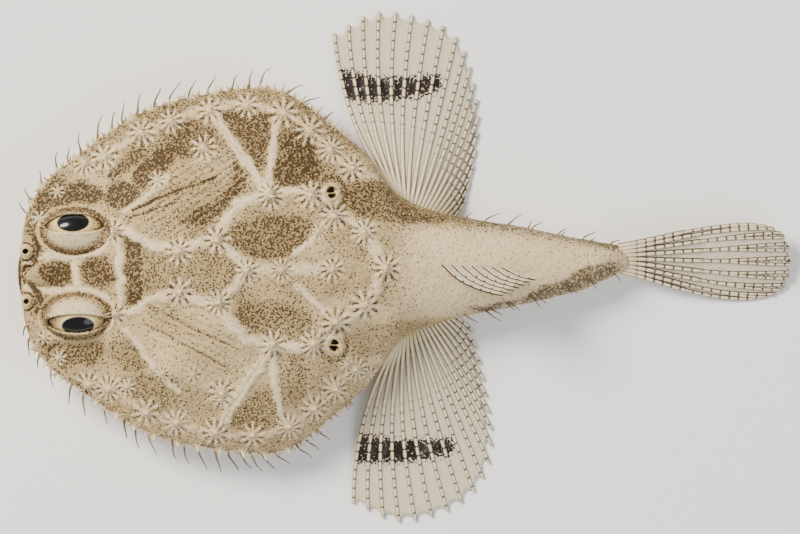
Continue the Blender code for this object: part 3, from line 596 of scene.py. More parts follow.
@dataclass(frozen=True)
class DampSkin:
    """Living fish skin, scaleless and damp, with pigment cells over a sandy ground.

    The eye sees sand and olive brown broken up by dark flecks, as in the stipple of the drawing. A row
    of flecks is (cell in mm, darkness where they start and end to grow, least and most size, softness).
    """

    name: str = "damp_batfish_skin"
    sand: str = "#D6BE90"
    olive: str = "#735A33"
    fleck: str = "#2C1E12"
    ivory: str = "#EBDCBA"
    belly: str = "#E8DCC2"
    blush: str = "#B08F6C"
    flecks: tuple[tuple[float, ...], ...] = ((0.3, 0.12, 1, -0.04, 0.8, 0.1), (0.46, 0, 0.5, 0.19, 0.3, 0.05))
    roughness: float = 0.56
    coat: Wetness = Wetness.DAMP

    def make(self) -> Material:
        """Builds the material; it reads dark, pale and under from the mesh."""
        finish = Finish(self.name)
        add = finish.add
        place = add("TexCoord", out="Object")
        dark, pale, under = (add("Attribute", out="Fac", attribute_name=n) for n in ("dark", "pale", "under"))
        warp = add("TexNoise", {"Vector": place, "Scale": 1 / (0.5 * MM)}, "Color")
        shift = add("VectorMath", (warp, (0.26 * MM,) * 3, place), operation="MULTIPLY_ADD")
        spots = []
        for cell, low, high, least, most, soft in self.flecks:
            cells = add("TexVoronoi", {"Vector": shift, "Scale": 1 / (cell * MM)}, "Distance")
            radius = add("MapRange", (dark, low, high, least, most))
            room = add("Math", (radius, cells), operation="SUBTRACT")
            spots.append(add("MapRange", (room, -soft, soft), interpolation_type="SMOOTHSTEP"))
        both = add("Math", (spots[0], spots[1]), operation="MAXIMUM")
        cloud = add("TexNoise", {"Vector": place, "Scale": 1 / (4.5 * MM), "Detail": 3.0}, "Fac")
        grain = add("TexNoise", {"Vector": place, "Scale": 1 / (0.16 * MM), "Detail": 3.0}, "Fac")
        clouded = add("MapRange", (cloud, 0.35, 0.65, -0.12, 0.12))
        depth = add("Math", (dark, 1.0, clouded), operation="MULTIPLY_ADD", use_clamp=True)
        freckled = add("Math", (grain, 0.5, depth), operation="MULTIPLY_ADD", use_clamp=True)
        settled = add("Math", (freckled, 0.25), operation="SUBTRACT", use_clamp=True)
        strength = add("MapRange", (pale, 0.2, 0.6, 0.86, 0.3))
        inked = add("Math", (both, strength), operation="MULTIPLY")
        belly = add("Mix", {0: dark, 6: linear(self.belly), 7: linear(self.blush)}, 2, data_type="RGBA")
        colour: Any = linear(self.sand)
        layers = [(settled, linear(self.olive)), (pale, linear(self.ivory)), (inked, linear(self.fleck))]
        for share, over in [*layers, (under, belly)]:
            colour = add("Mix", {0: share, 6: colour, 7: over}, 2, data_type="RGBA")
        pebbles = add("TexVoronoi", {"Vector": shift, "Scale": 1 / (0.45 * MM)}, "Distance")
        height = add("Math", (pebbles, -1.3, grain), operation="MULTIPLY_ADD")
        rough = (grain, 0.3, 0.7, self.roughness - 0.1, self.roughness + 0.14)
        return finish.made({
            "Base Color": colour, "Roughness": add("MapRange", rough),
            "Normal": add("Bump", {"Strength": 0.6, "Distance": 0.07 * MM, "Height": height}),
            "Coat Weight": self.coat.value, "Coat Roughness": 0.4, "IOR": 1.38, "Specular IOR Level": 0.1,
            "Subsurface Weight": 0.12, "Subsurface Radius": (1.0, 0.55, 0.35), "Subsurface Scale": 0.6 * MM,
        })


@dataclass(frozen=True)
class TonedTissue:
    """A tissue whose colour runs from pale to dark with the tone of its points.

    The eye sees ivory spines, brown thread-like skin flaps, horn-pale fin rays with dark joints, clear
    fin webs with stippled bars, and the soft pale lure.
    """

    name: str
    pale: str
    dark: str
    mottle: float
    grain: float
    roughness: float
    coat: Wetness = Wetness.DAMP
    open_share: float = 0.0
    stipple: float = 0.0
    specular: float = 0.28

    def make(self) -> Material:
        """Builds the material; it reads tone from the mesh."""
        finish = Finish(self.name)
        add = finish.add
        place = add("TexCoord", out="Object")
        tone = add("Attribute", out="Fac", attribute_name="tone")
        cloud = add("TexNoise", {"Vector": place, "Scale": 1 / (self.grain * MM), "Detail": 3.0}, "Fac")
        mottled = add("MapRange", (cloud, 0.3, 0.7, -self.mottle, self.mottle))
        if self.stipple:
            cells = add("TexVoronoi", {"Vector": place, "Scale": 1 / (self.stipple * MM)}, "Distance")
            radius = add("Math", (tone, 0.95, 0.02), operation="MULTIPLY_ADD")
            room = add("Math", (radius, cells), operation="SUBTRACT")
            tone = add("MapRange", (room, -0.06, 0.12), interpolation_type="SMOOTHSTEP")
        depth = add("Math", (tone, mottled), operation="ADD", use_clamp=True)
        ends = {0: depth, 6: linear(self.pale), 7: linear(self.dark)}
        rough = (cloud, 0.3, 0.7, self.roughness - 0.06, self.roughness + 0.1)
        inputs: dict[str | int, Any] = {
            "Base Color": add("Mix", ends, 2, data_type="RGBA"), "Roughness": add("MapRange", rough),
            "Normal": add("Bump", {"Strength": 0.35, "Distance": 0.03 * MM, "Height": cloud}),
            "Coat Weight": self.coat.value, "Coat Roughness": 0.2, "IOR": 1.42,
            "Specular IOR Level": self.specular,
        }
        if self.open_share:
            inputs["Alpha"] = add("MapRange", (depth, 0.0, 0.8, 1 - self.open_share, 0.97))
        return finish.made(inputs)


@dataclass(frozen=True)
class WetEye:
    """A living eye: a brassy iris with dark radial flecks round a black pupil, under a wet cornea."""

    name: str = "wet_fish_eye"
    pupil: str = "#07080A"
    iris: str = "#C9AE74"
    shade: str = "#4A3820"
    ring: str = "#E6D39A"

    def make(self) -> Material:
        """Builds the material; it reads pupil, span and turn from the mesh."""
        finish = Finish(self.name)
        add = finish.add
        place = add("TexCoord", out="Object")
        span, turn, black = (add("Attribute", out="Fac", attribute_name=n) for n in ("span", "turn", "pupil"))
        polar = add("CombineXYZ", (turn, span))
        streaks = add("TexNoise", {"Vector": polar, "Scale": 1.0, "Detail": 4.0, "Roughness": 0.6}, "Fac")
        dots = add("TexVoronoi", {"Vector": place, "Scale": 1 / (0.2 * MM)}, "Distance")
        outer = add("MapRange", (span, 1.1, 1.8, 0.0, 0.95))
        room = add("Math", (outer, dots), operation="SUBTRACT")
        dotted = add("MapRange", {0: room, 1: -0.15, 2: 0.15, 4: 0.6}, interpolation_type="SMOOTHSTEP")
        depth = add("Math", (streaks, 0.7, dotted), operation="MULTIPLY_ADD", use_clamp=True)
        shaded = add("MapRange", (depth, 0.3, 1.0))
        near = add("MapRange", (span, 1.02, 1.3, 0.85, 0.0))
        colour: Any = linear(self.iris)
        for share, over in ((shaded, self.shade), (near, self.ring), (black, self.pupil)):
            colour = add("Mix", {0: share, 6: colour, 7: linear(over)}, 2, data_type="RGBA")
        return finish.made({
            "Base Color": colour, "Roughness": 0.35, "Specular IOR Level": 0.1,
            "Coat Weight": Wetness.WET.value, "Coat Roughness": 0.03, "Coat IOR": 1.34,
        })


@dataclass(frozen=True)
class PaintedBoard:
    """The studio's floor: a board in matt white paint, with the faint mottle of a roller."""

    name: str = "matt_white_board"
    paint: str = "#F8F7F4"

    def make(self) -> Material:
        """Builds the material."""
        finish = Finish(self.name)
        place = finish.add("TexCoord", out="Object")
        mottle = finish.add("TexNoise", {"Vector": place, "Scale": 1 / (2.5 * MM)}, "Fac")
        rough = finish.add("MapRange", (mottle, 0.3, 0.7, 0.82, 0.92))
        return finish.made({"Base Color": linear(self.paint), "Roughness": rough})


@dataclass(frozen=True)
class Patch:
    """A patch of the back, darker than what lies round it or lighter; its edge is soft for a width."""

    corners: Flat
    tone: float
    sides: tuple[int, ...] = BOTH
    width: float = 0.55
    lighter: bool = False


@dataclass(frozen=True)
class Ridge:
    """A raised pale line of the skin, or a sunk dark one."""

    corners: Flat
    width: float
    strength: float
    rise: float = 0.22
    sides: tuple[int, ...] = BOTH
    grooved: bool = False


def near_marks(
    marks: Sequence[Patch | Ridge], spots: Array, reach: float
) -> Iterator[tuple[Any, Array, Array]]:
    """Goes through marks, once for each side that each is on.

    Args:
        marks: Patches or ridges.
        spots: Places in plan.
        reach: How far out a spot still counts, in widths of the mark.

    Yields:
        The mark, the numbers of the spots near it and their distance from it or depth in it.
    """
    for mark in marks:
        closed = isinstance(mark, Patch)
        for side in mark.sides:
            path = np.reshape(mark.corners, (-1, 2)) * (1, side)
            path = smooth_path(path, 30 if closed else 20, closed)
            yield mark, *near_path(spots, path, mark.width * reach, closed)


@dataclass
class Markings:
    """Where the skin is dark, pale, raised or sunk, from places measured on the drawing."""

    patches: tuple[Patch, ...] = (
        Patch((-34.5, 4.6, -24, 5, -19, 9.5, -21.5, 16, -30, 13.5, -35.5, 8), 0.24, LEFT, 1.2, True),
        Patch((-47.2, 0, -46, 1.4, -43.2, 1.5, -42.9, -1, -43.6, -2, -45.8, -1.6), 0.85, RIGHT, 0.35),
        Patch((-41.4, 1.2, -40, 2, -38, 1.8, -37.3, -0.4, -37.9, -1.6, -40, -1.8, -41.3, -1.2), 0.78, RIGHT,
            0.4),
        Patch((-35.8, 4.2, -34.9, 4.8, -33.7, 3.6, -33.6, 0, -33.9, -3.2, -35, -4.6, -35.8, -4.2), 0.8, RIGHT,
            0.35),
        Patch((-33.5, 3, -31, 2.4, -28, 2.5, -24.5, 3.2, -21.5, 1.5, -20.8, 0, -21.5, -1.7, -24.5, -3.1, -28,
            -2.5, -31, -2.4, -33.5, -3), 0.56, RIGHT),
        Patch((-48.8, 5.4, -47.6, 9.4, -45.4, 12.4, -43.4, 12, -45.4, 9.2, -46.8, 6.2, -47.6, 5), 0.76,
            RIGHT),
        Patch((-47.2, 8.6, -46, 11.2, -43.6, 12.4, -42.6, 10.4, -45, 8.9), 0.74, LEFT),
        Patch((-46.5, 8.6, -45.2, 10.6, -42, 11.8, -38.8, 10.8, -39, 9, -41, 8.9, -43.5, 9.1), 0.82, RIGHT),
        Patch((-44.5, 9.2, -43.2, 11, -41, 11.8, -38.8, 10.8, -39, 9, -41, 8.9), 0.72, LEFT),
        Patch((-38.4, 8.8, -37.6, 11.4, -35.6, 11.6, -33.8, 10.8, -34.4, 9.4, -35.6, 8.4), 0.8, RIGHT, 0.45),
        Patch((-38, 9.2, -37, 12, -34.2, 12.8, -33, 11.8, -34.6, 9.6, -35.6, 8.6), 0.62, LEFT),
        Patch((-34.8, 12, -33.4, 10.9, -31.4, 12.2, -29.4, 14.4, -29.6, 16.6, -31.6, 15.6, -33.6, 13.9), 0.85,
            RIGHT, 0.4),
        Patch((-38.2, 12.1, -36.8, 12, -34.2, 14.2, -32.6, 16.4, -34, 16.6, -36.6, 14.2), 0.72, RIGHT, 0.4),
        Patch((-36.8, 13.2, -35, 16.8, -31.8, 17.8, -29.6, 16.8, -29.8, 13.8, -32.8, 13.2), 0.62, LEFT),
        Patch((-30.2, 15.8, -28.8, 19.2, -25.8, 18.6, -25.2, 15.6, -28, 14.6), 0.74, RIGHT),
        Patch((-30.2, 15.8, -28.8, 19.2, -25.8, 18.6, -25.2, 15.6, -28, 14.6), 0.5, LEFT),
        Patch((-33, 4.4, -32.2, 6.8, -29.6, 7.2, -28.8, 5, -30.6, 4.2), 0.45, LEFT),
        Patch((-33.5, 6.4, -27, 7.6, -21, 11.4, -20.6, 14.6, -24.5, 14.4, -30, 11.4), 0.46, RIGHT),
        Patch((-31, 5.4, -24, 7.4, -19.6, 11.6, -20.6, 14.4, -25.5, 13, -31, 9), 0.32, LEFT),
        Patch((-29, 6.6, -25, 6.1, -22.2, 8.5, -19.9, 11.4, -21.4, 14.8, -22, 12.2, -24, 9.2), 0.72, RIGHT),
        Patch((-28.5, 4.6, -25.8, 4.6, -22.6, 7.4, -23.4, 8.6, -26.5, 7.4), 0.52, RIGHT),
        Patch((-23.2, 20.4, -17, 20.4, -17.4, 16.5, -18.2, 12.6, -20.4, 16.4), 0.76, RIGHT),
        Patch((-22.8, 19.6, -19.5, 20.4, -16.2, 20.2, -15.9, 16.2, -19, 15.4), 0.66, LEFT),
        Patch((-29.5, 17.4, -27.5, 20, -22.8, 20.2, -22.6, 17.6, -26, 16.6), 0.46, LEFT),
        Patch((-16.4, 10.8, -16.3, 14, -14.6, 17.8, -11.6, 17.2, -10.4, 13, -12, 10.6), 0.82, RIGHT),
        Patch((-16.6, 10.6, -16.4, 14, -15, 17.6, -13.4, 16.8, -12.8, 13, -13.4, 10.6), 0.6, LEFT),
        Patch((-22.8, 4.2, -20.5, 6.2, -17, 7, -13, 6.6, -11.4, 5, -14.2, 2, -19, 1.5), 0.7, RIGHT),
        Patch((-22.4, 5.2, -20.8, 7.2, -17, 9, -13, 8.8, -11.4, 6.8, -14, 4.9, -18.6, 4), 0.66, LEFT),
        Patch((-10, 4.4, -8, 3.4, -3, 4.6, 4, 4.6, 4, 6.4, -4, 6.9, -8, 6.6), 0.15, LEFT, 0.8, True),
        Patch((-7.8, 8.4, -7.2, 10.8, -3.4, 11.6, -0.8, 9.2, 3.6, 6.9, 6.4, 6.2, 2, 5.4, -2.5, 5.9, -6, 7.2),
            0.7, RIGHT),
        Patch((-8.2, 8.6, -7.6, 10.8, -3.6, 12, -0.8, 9.9, 3.4, 7.6, 6.6, 6.9, 3.4, 6.7, -0.6, 7.2, -4.6,
            7.9), 0.5, LEFT),
        Patch((-11.6, 10.6, -10.6, 13.4, -6.4, 14.6, -2.8, 12.6, -3.4, 11, -8, 11.4), 0.44),
        Patch((-14, 8, -12.6, 9.4, -10.6, 8.4, -9.6, 6.8, -11.4, 6.4), 0.46),
        Patch((8, 5.3, 12, 4.6, 15.6, 4, 17.3, 2.6, 20, 2.1, 22.5, 0.6, 24.5, 0.1, 26.5, -0.3, 27.6, 0.6,
            27.4, 1.9, 24, 2.9, 20.5, 3.9, 17, 4.7, 14, 5.1, 10, 6), 0.78, LEFT, 0.45),
    )
    ridges: tuple[Ridge, ...] = (
        Ridge((-48.6, 1.6, -46.4, 2.1, -42.6, 2.3, -39.6, 2.7, -37.3, 5), 0.7, 0.85, 0.15),
        Ridge((-42.2, 2.2, -42.3, 0, -42.2, -2.3), 0.55, 0.85, 0.15, RIGHT),
        Ridge((-36.8, 4.2, -36.5, 0, -36.8, -4.2), 0.5, 0.9, 0.2, RIGHT),
        Ridge((-37.2, 5.2, -35.4, 5.2, -33, 3.6, -29, 3, -24, 4, -20.2, 0), 0.75, 0.9),
        Ridge((-35.6, 7.8, -33.2, 9.6, -30.4, 12), 0.5, 0.8, 0.2, RIGHT),
        Ridge((-36, 7.4, -34, 9.8, -32.4, 12.4, -29.4, 15.6), 0.5, 0.8, 0.2, LEFT),
        Ridge((-24, 4, -22.6, 6.4, -20.6, 8.8, -17.2, 9.7), 0.95, 0.95, 0.25),
        Ridge((-17.3, 9.9, -20, 13.8, -22.3, 17, -24.3, 20.4), 0.8, 0.95, 0.42, BOTH, True),
        Ridge((-17.1, 9.8, -17, 14, -16.2, 19.4), 0.6, 0.85, 0.18),
        Ridge((-17.2, 9.7, -14.5, 10, -12, 9.8, -8.8, 7, -5.1, 4.9, -2.5, 0), 0.8, 0.9, 0.25),
        Ridge((-20.2, 0, -9, 0), 1.0, 0.7, 0.12, RIGHT),
        Ridge((-14, 1.8, -11, 4.8, -9, 6.8), 0.55, 0.8, 0.15),
        Ridge((-41, 14.3, -38.4, 15.2, -33.6, 18, -29.8, 19.6, -24.8, 20.9, -20, 21.4, -15.3, 20.2, -12, 17.9,
            -9.3, 15.4, -6.6, 12.9, -3.6, 11.6), 0.7, 0.5, 0.12),
    )
    # Sunk lines and creases, darkened with painted shade.
    furrows: tuple[Ridge, ...] = (
        Ridge((-34.8, 8, -30.3, 9.9, -24.2, 12), 0.2, 0.9, -0.1, RIGHT),
        Ridge((-35.2, 7, -31, 8.4, -29.4, 8.8), 0.16, 0.8, -0.08, RIGHT),
        Ridge((-33.5, 6.6, -29, 9, -22.5, 12.8), 0.16, 0.75, -0.08, LEFT),
        Ridge((-30.5, 5.6, -26.5, 7.8, -22.6, 9.6), 0.16, 0.7, -0.08, LEFT),
        Ridge((-49.2, -0.3, -48.4, 0.6, -47.3, 1.8), 0.14, 0.75, -0.05, RIGHT),
        Ridge((-49.2, -0.3, -48.3, -1.3, -46.8, -2.4), 0.14, 0.75, -0.05, RIGHT),
        Ridge((-47.7, 4.7, -47.2, 3.2, -47.7, 1.7), 0.42, 1.0, -0.14, RIGHT),
        Ridge((-48.1, -1.5, -47.3, -2.6, -46.8, -4.1, -47.4, -4.9), 0.48, 1.0, -0.14, RIGHT),
        Ridge((-49.5, 3.6, -49.7, 0.2, -49.5, -3.2), 0.13, 0.8, 0.0, RIGHT),
    )
    belly_folds: tuple[Ridge, ...] = (
        Ridge((-38, 0, -30, 0.2, -18, -0.1, -6, 0.1), 0.8, 0.14, -0.16, RIGHT),
        Ridge((-43.5, 9.5, -39, 12.6, -33, 14.8, -27, 15.4), 0.8, 0.12, -0.16),
        Ridge((-31.6, 3, -30.9, 5.8, -28.6, 7.6), 0.4, 0.2, -0.16),
        Ridge((-33.4, 2.4, -32.8, 6.2, -29.8, 9), 0.5, 0.14, -0.14),
        Ridge((-26.2, 2.6, -24, 4.2, -23.6, 6.4), 0.5, 0.14, -0.14),
        Ridge((-17, 11.5, -13.5, 9.5, -9, 8.8, -5, 9.2), 0.8, 0.1, -0.14),
        Ridge((-47.2, 6.4, -46.4, 3, -46.2, 0, -46.4, -3, -47.2, -6.4), 0.4, 0.18, -0.14, RIGHT),
        Ridge((-45.2, 6.8, -44.4, 3, -44.3, 0, -44.4, -3, -45.2, -6.8), 0.5, 0.12, -0.12, RIGHT),
    )
    stars: tuple[Point2, ...] = (
        (-41, 14.3), (-37.4, 5.3), (-38.4, 14.9), (-33.6, 18), (-29.8, 19.4), (-28.9, 2.6), (-24.8, 20.7),
        (-24, 4), (-20, 21.2), (-17.1, 9.5), (-15.3, 20.2), (-11.9, 9.55), (-12, 17.9), (-9.3, 15.4),
        (-9, 6.8), (-6.6, 12.9), (-5.2, 4.65),
    )
    middle_stars: Flat = (-20.2, -15.8, -9.3, -2.45)
    single_stars: tuple[Point2, ...] = ((-25.6, 15.9), (-23.8, -15.6))
    small_stars: tuple[Point2, ...] = (
        (-36, -14.7), (-27.5, -13.2), (-24, -16.5), (-7.7, -12.3), (-4.8, -13.6), (-11, 4.8), (-31.6, 11.9),
        (-31.4, -13), (-44.6, 10.6), (-44.8, -10.8), (-47, 7.2), (-46.6, -8.2),
    )
    eyes: tuple[Point2, ...] = ((-42.3, 5.45), (-42.3, -5.45))
    dome: Point2 = (4.4, 2.95)
    pleats: int = 58
    gills: tuple[Point2, ...] = ((-9.3, 9.75), (-9.3, -9.75))
    muscles: tuple[Point3, ...] = ((-27.0, 9.6, 33.0), (-26.8, -8.2, -27.0))
    tail_half: tuple[Point2, ...] = ((3, 7.6), (5.2, 6.9), (14.8, 5.1), (24, 3.1), (32, 1.8))
    vent: Point2 = (9.2, 0.0)
    thin: float = 0.72
    seed: int = 11

    def __post_init__(self) -> None:
        """Draws the stars' sizes and turns once, so that the skin and the spines agree."""
        rng = random.Random(self.seed)
        self.noise = Noise(self.seed)
        large = [(x, y * side) for x, y in self.stars for side in BOTH]
        large += [(x, 0.0) for x in self.middle_stars] + list(self.single_stars)
        kinds = ((large, (0.88, 1.15), (9, 12)), (self.small_stars, (0.5, 0.68), (7, 9)))
        self.all_stars = [
            (x, y, rng.uniform(*sizes), rng.uniform(0, math.pi), rng.randint(*arms))
            for places, sizes, arms in kinds
            for x, y in places
        ]

    def shifts(self, points: Array, grain: float, *seeds: float) -> Array:
        """Two fields of noise, as shifts in x and y."""
        return np.stack([self.noise.at(points + seed, grain) for seed in seeds], axis=1)

    def read(self, points: Array) -> dict[str, Array]:
        """Reads the markings at points of the back.

        Args:
            points: Places in millimetres, (x, y, z) a row.

        Returns:
            The dark and pale shares and the rise in millimetres.
        """
        flat = points * (1, 1, 0.3)
        plan = points[:, :2]
        spots = plan + (self.shifts(flat, 1.1, 3.0, 47.0) * 0.32 + self.shifts(flat, 0.45, 9.0, 71.0) * 0.14)
        dark, pale = self.ground(plan, flat)
        for patch, near, depth in near_marks(self.patches, spots, 2):
            change = (np.minimum if patch.lighter else np.maximum)(patch.tone - dark[near], 0)
            dark[near] += smoothstep(-patch.width, patch.width, depth) * change
        rise = -0.14 * smoothstep(0.4, 0.9, dark)
        for ridge, near, away in near_marks(self.ridges, spots, 3):
            line = np.exp(-((away / (ridge.width * self.thin)) ** 3))
            dark[near] *= 1 - ridge.strength * line
            pale[near] = np.maximum(pale[near], 0.55 * ridge.strength * line)
            rise[near] += ridge.rise * bell(away, ridge.width * 0.8)
            if ridge.grooved:
                rise[near] -= ridge.rise * 0.55 * bell(away, 0.24)
                # Painted shade in the groove along the ridge.
                dark[near] += 0.3 * bell(away, 0.2)
        # Painted shade along the furrows: the creases behind the nostrils, along the rostrum and lips, and
        # over the cheeks.
        for furrow, near, away in near_marks(self.furrows, plan, 4):
            line = bell(away, furrow.width)
            dark[near] += np.maximum(furrow.strength - dark[near], 0) * line
            pale[near] *= 1 - line
            rise[near] += furrow.rise * line
        self.draw_stars(plan, dark, pale, rise)
        self.draw_muscles(plan, flat, dark, rise)
        self.draw_eyes(plan, dark, pale, rise)
        x, y = plan.T
        for gill_x, gill_y in self.gills:
            reach = np.hypot((x - gill_x) / 0.85, y - gill_y)
            dark = np.maximum(dark, 0.8 * bell(reach - 2.1, 0.55))
            dark = np.where(reach < 1.5, dark * 0.35, dark)
        # Painted light: the left side, which the key lamp leaves in shade, is made lighter here.
        dark *= 1 - 0.12 * smoothstep(4, 12, -y) * smoothstep(-46, -40, x) * smoothstep(8, 0, x)
        calm = self.calm(plan)
        grit = 0.05 * self.noise.at(points, 0.5) + 0.035 * self.noise.at(points, 0.27)
        rise = rise * calm + grit * (0.25 + 0.75 * calm)
        return {"dark": np.clip(dark, 0, 1), "pale": np.clip(pale, 0, 1), "rise": rise}

    def ground(self, plan: Array, flat: Array) -> tuple[Array, Array]:
        """How dark and how pale the skin is under its marks: pale on the tail, its sides flecked."""
        x, y = plan.T
        across = np.abs(y)
        rear = smoothstep(-3, 3, x) * smoothstep(6.5, 4.0, np.where(y < 0, across - 1.0, across))
        dark = 0.42 + 0.1 * self.noise.at(flat, 3.0)
        dark += np.where(y > 0, 0.17, 0.08) * smoothstep(13.5, 18, across)
        dark = dark * (1 - rear) + 0.07 * rear
        aside = y / smooth_values(self.tail_half, x)
        edge = smoothstep(0.5, 0.98, aside) + 0.4 * smoothstep(0.8, 1.0, -aside)
        tail_tone = 0.07 + 0.62 * edge + 0.35 * smoothstep(22, 28, x)
        on_tail = smoothstep(1.0, 6.0, x)
        return dark * (1 - on_tail) + tail_tone * on_tail, 0.28 * rear

    def read_belly(self, points: Array) -> tuple[Array, Array]:
        """Reads how blushed the belly is and how it rises, in millimetres, at points of it."""
        plan = points[:, :2] + self.shifts(points, 1.4, 5.0, 31.0) * 0.3
        tone = 0.18 + 0.16 * self.noise.at(points, 4.0) + 0.14 * self.noise.at(points, 0.7)
        rise = 0.06 * self.noise.at(points, 1.1) + 0.04 * self.noise.at(points, 0.5)
        for fold, near, away in near_marks(self.belly_folds, plan, 4):
            line = bell(away, fold.width)
            tone[near] += fold.strength * line
            rise[near] += fold.rise * line
        reach = np.hypot((points[:, 0] - self.vent[0]) / 1.3, points[:, 1] - self.vent[1])
        tone += 0.9 * bell(reach, 0.42) + 0.25 * bell(reach - 0.85, 0.3)
        rise += 0.16 * bell(reach - 0.85, 0.3) - 0.3 * bell(reach, 0.4)
        return np.clip(tone, 0, 1), rise

    def on_dome(self, plan: Array, eye: Point2) -> tuple[Array, Array]:
        """Where places lie about an eye's dome, as shares of its width and height."""
        return (plan[:, 0] - eye[0]) / self.dome[0], (plan[:, 1] - eye[1]) / self.dome[1]

    def calm(self, plan: Array) -> Array:
        """0 on the smooth eye domes and 1 elsewhere."""
        share = np.ones(len(plan))
        for eye in self.eyes:
            share *= smoothstep(1.0, 1.2, np.hypot(*self.on_dome(plan, eye)))
        return share

    def draw_stars(self, plan: Array, dark: Array, pale: Array, rise: Array) -> None:
        """Adds a pale heart and pale arms for each star, with dark strokes between the arms."""
        for star_x, star_y, size, spin, arms in self.all_stars:
            dx, dy = plan[:, 0] - star_x, plan[:, 1] - star_y
            near = (np.abs(dx) < 4) & (np.abs(dy) < 4)
            reach = np.hypot(dx[near], dy[near]) / size
            beat = np.cos(arms * (np.arctan2(dy[near], dx[near]) - spin)) * 0.5 + 0.5
            heart, spread = bell(reach, 0.62), smoothstep(2.3, 1.1, reach)
            arm = spread * beat**3
            stroke = spread * smoothstep(0.55, 0.9, reach) * (1 - beat) ** 2.2
            dark[near] *= 1 - np.maximum(heart, 0.85 * arm)
            dark[near] = np.maximum(dark[near], 0.95 * stroke)
            pale[near] = np.maximum(pale[near] * (1 - stroke), np.maximum(0.9 * heart, 0.75 * arm))
            rise[near] += size * (0.22 * bell(reach, 0.85) + 0.06 * arm)

    def draw_muscles(self, plan: Array, flat: Array, dark: Array, rise: Array) -> None:
        """Adds the fine furrows that run along the jaw muscle on each cheek, with painted shade in their
        troughs and painted light on their crests.
        """
        for centre_x, centre_y, slant in self.muscles:
            turn = math.radians(slant)
            dx, dy = plan[:, 0] - centre_x, plan[:, 1] - centre_y
            along = dx * math.cos(turn) + dy * math.sin(turn)
            across = dy * math.cos(turn) - dx * math.sin(turn)
            mask = smoothstep(1.1, 0.75, np.hypot(along / 8.5, across / 4.6))
            swayed = across + 0.06 * along * across / 4 + 0.25 * self.noise.at(flat, 1.6)
            wave = np.sin(TAU * swayed / 0.85)
            rise += 0.045 * mask * wave
            patchy = 0.5 + 0.5 * self.noise.at(flat, 2.2)
            # Painted shade in the troughs of the furrows, painted light on their crests.
            dark += 0.14 * mask * patchy * smoothstep(0.1, -0.9, wave)
            dark -= 0.06 * mask * smoothstep(0.1, 0.9, wave)

    def draw_eyes(self, plan: Array, dark: Array, pale: Array, rise: Array) -> None:
        """Adds the pleats and folds of each eye dome, with painted shade towards its edge, in the troughs of
        the pleats and in the groove round it, and painted light on the pleats' crests and on the fold outside
        it.
        """
        for eye in self.eyes:
            across, up = self.on_dome(plan, eye)
            e = np.hypot(across, up)
            inside = e < 1.0
            sway = 2.5 * self.noise.at(np.column_stack([plan, e]), 2.0)
            pleats = np.cos(np.arctan2(up, across) * self.pleats + sway)
            pleats *= smoothstep(0.5, 0.68, e) * smoothstep(1.0, 0.94, e)
            # Painted shade: the dome darkens towards its edge and in the troughs of its pleats, and is
            # lighter on their crests.
            dark[inside] = (0.16 + 0.58 * smoothstep(0.6, 0.98, e) ** 1.3 - 0.13 * pleats)[inside]
            pale[inside] = (0.4 * smoothstep(0.9, 0.55, e))[inside]
            rise += 0.022 * pleats
            # Painted shade in the groove round the dome.
            line = bell(e - 1.02, 0.03)
            np.maximum(dark, 0.95 * line, out=dark)
            pale *= 1 - line
            rise += -0.16 * bell(e - 1.03, 0.045) + 0.14 * bell(e - 1.13, 0.05)
            # Painted light on the fold outside the groove.
            dark *= 1 - 0.5 * bell(e - 1.13, 0.045)


@dataclass
class Face:
    """Sizes of what the head carries: eyes, lids, lips, nostrils, the short rostrum and its lure."""

    eye_x: float = -42.3
    eye_y: float = 5.45
    eye_z: float = 8.9
    eye_radii: Point3 = (4.0, 2.55, 2.65)
    dome_radii: Point3 = (4.4, 2.95, 3.1)
    opening: Point2 = (4.05, 1.56)
    opening_out: float = 0.32
    gaze_tilt: float = 16.0
    lid_roll: float = 0.21
    lip_half_width: float = 3.6
    lower_lip_z: float = 5.3
    upper_lip_z: float = 6.55
    lip_radius: float = 0.62
    slit_bend: float = 0.035
    nostrils: tuple[Point2, ...] = ((-48.8, 2.95), (-48.8, -3.5))
    nostril_top: float = 7.95
    nostril_hole: float = 0.36
    rostrum_root: Point3 = (-43.6, 0.0, 7.7)
    rostrum_tip: Point3 = (-49.15, 0.0, 8.25)
    rostrum_half_width: float = 1.9
    cavity_at: Point3 = (-48.75, 0.0, 7.3)
    cavity_radii: Point3 = (1.25, 1.3, 0.7)
    lure_at: Point3 = (-48.75, 0.0, 7.25)

    def eye(self, side: int) -> Vector:
        """The middle of an eye."""
        return Vector((self.eye_x, self.eye_y * side, self.eye_z))

    def gaze(self, side: int) -> Vector:
        """The way that an eye looks."""
        tilt = math.radians(self.gaze_tilt)
        return Vector((0, math.sin(tilt) * side, math.cos(tilt)))

    def opening_axis(self, side: int) -> Planted:
        """The middle of the opening between the lids, and the way outwards across it."""
        tilt = math.radians(self.gaze_tilt)
        across = Vector((0, math.cos(tilt) * side, -math.sin(tilt)))
        return self.eye(side) + across * self.opening_out, across

    def lid_edge(self, side: int, count: int = 96) -> list[Vector]:
        """The line where the opening meets the dome of the lids."""
        middle, across = self.opening_axis(side)
        gaze, eye = self.gaze(side), self.eye(side)
        edge = []
        for k in range(count + 1):
            angle = TAU * k / count
            start = middle + Vector((self.opening[0] * math.cos(angle), 0, 0))
            start += across * (self.opening[1] * math.sin(angle))
            p = Vector([c / r for c, r in zip(start - eye, self.dome_radii)])
            g = Vector([c / r for c, r in zip(gaze, self.dome_radii)])
            a, b, c = g.dot(g), p.dot(g), p.dot(p) - 1
            edge.append(start + gaze * ((-b + math.sqrt(max(b * b - a * c, 0))) / a))
        return edge

    def slit_z(self, y: Any) -> Any:
        """The height of the mouth's line, which droops at both ends."""
        return (self.lower_lip_z + self.upper_lip_z) / 2 - self.slit_bend * y * y


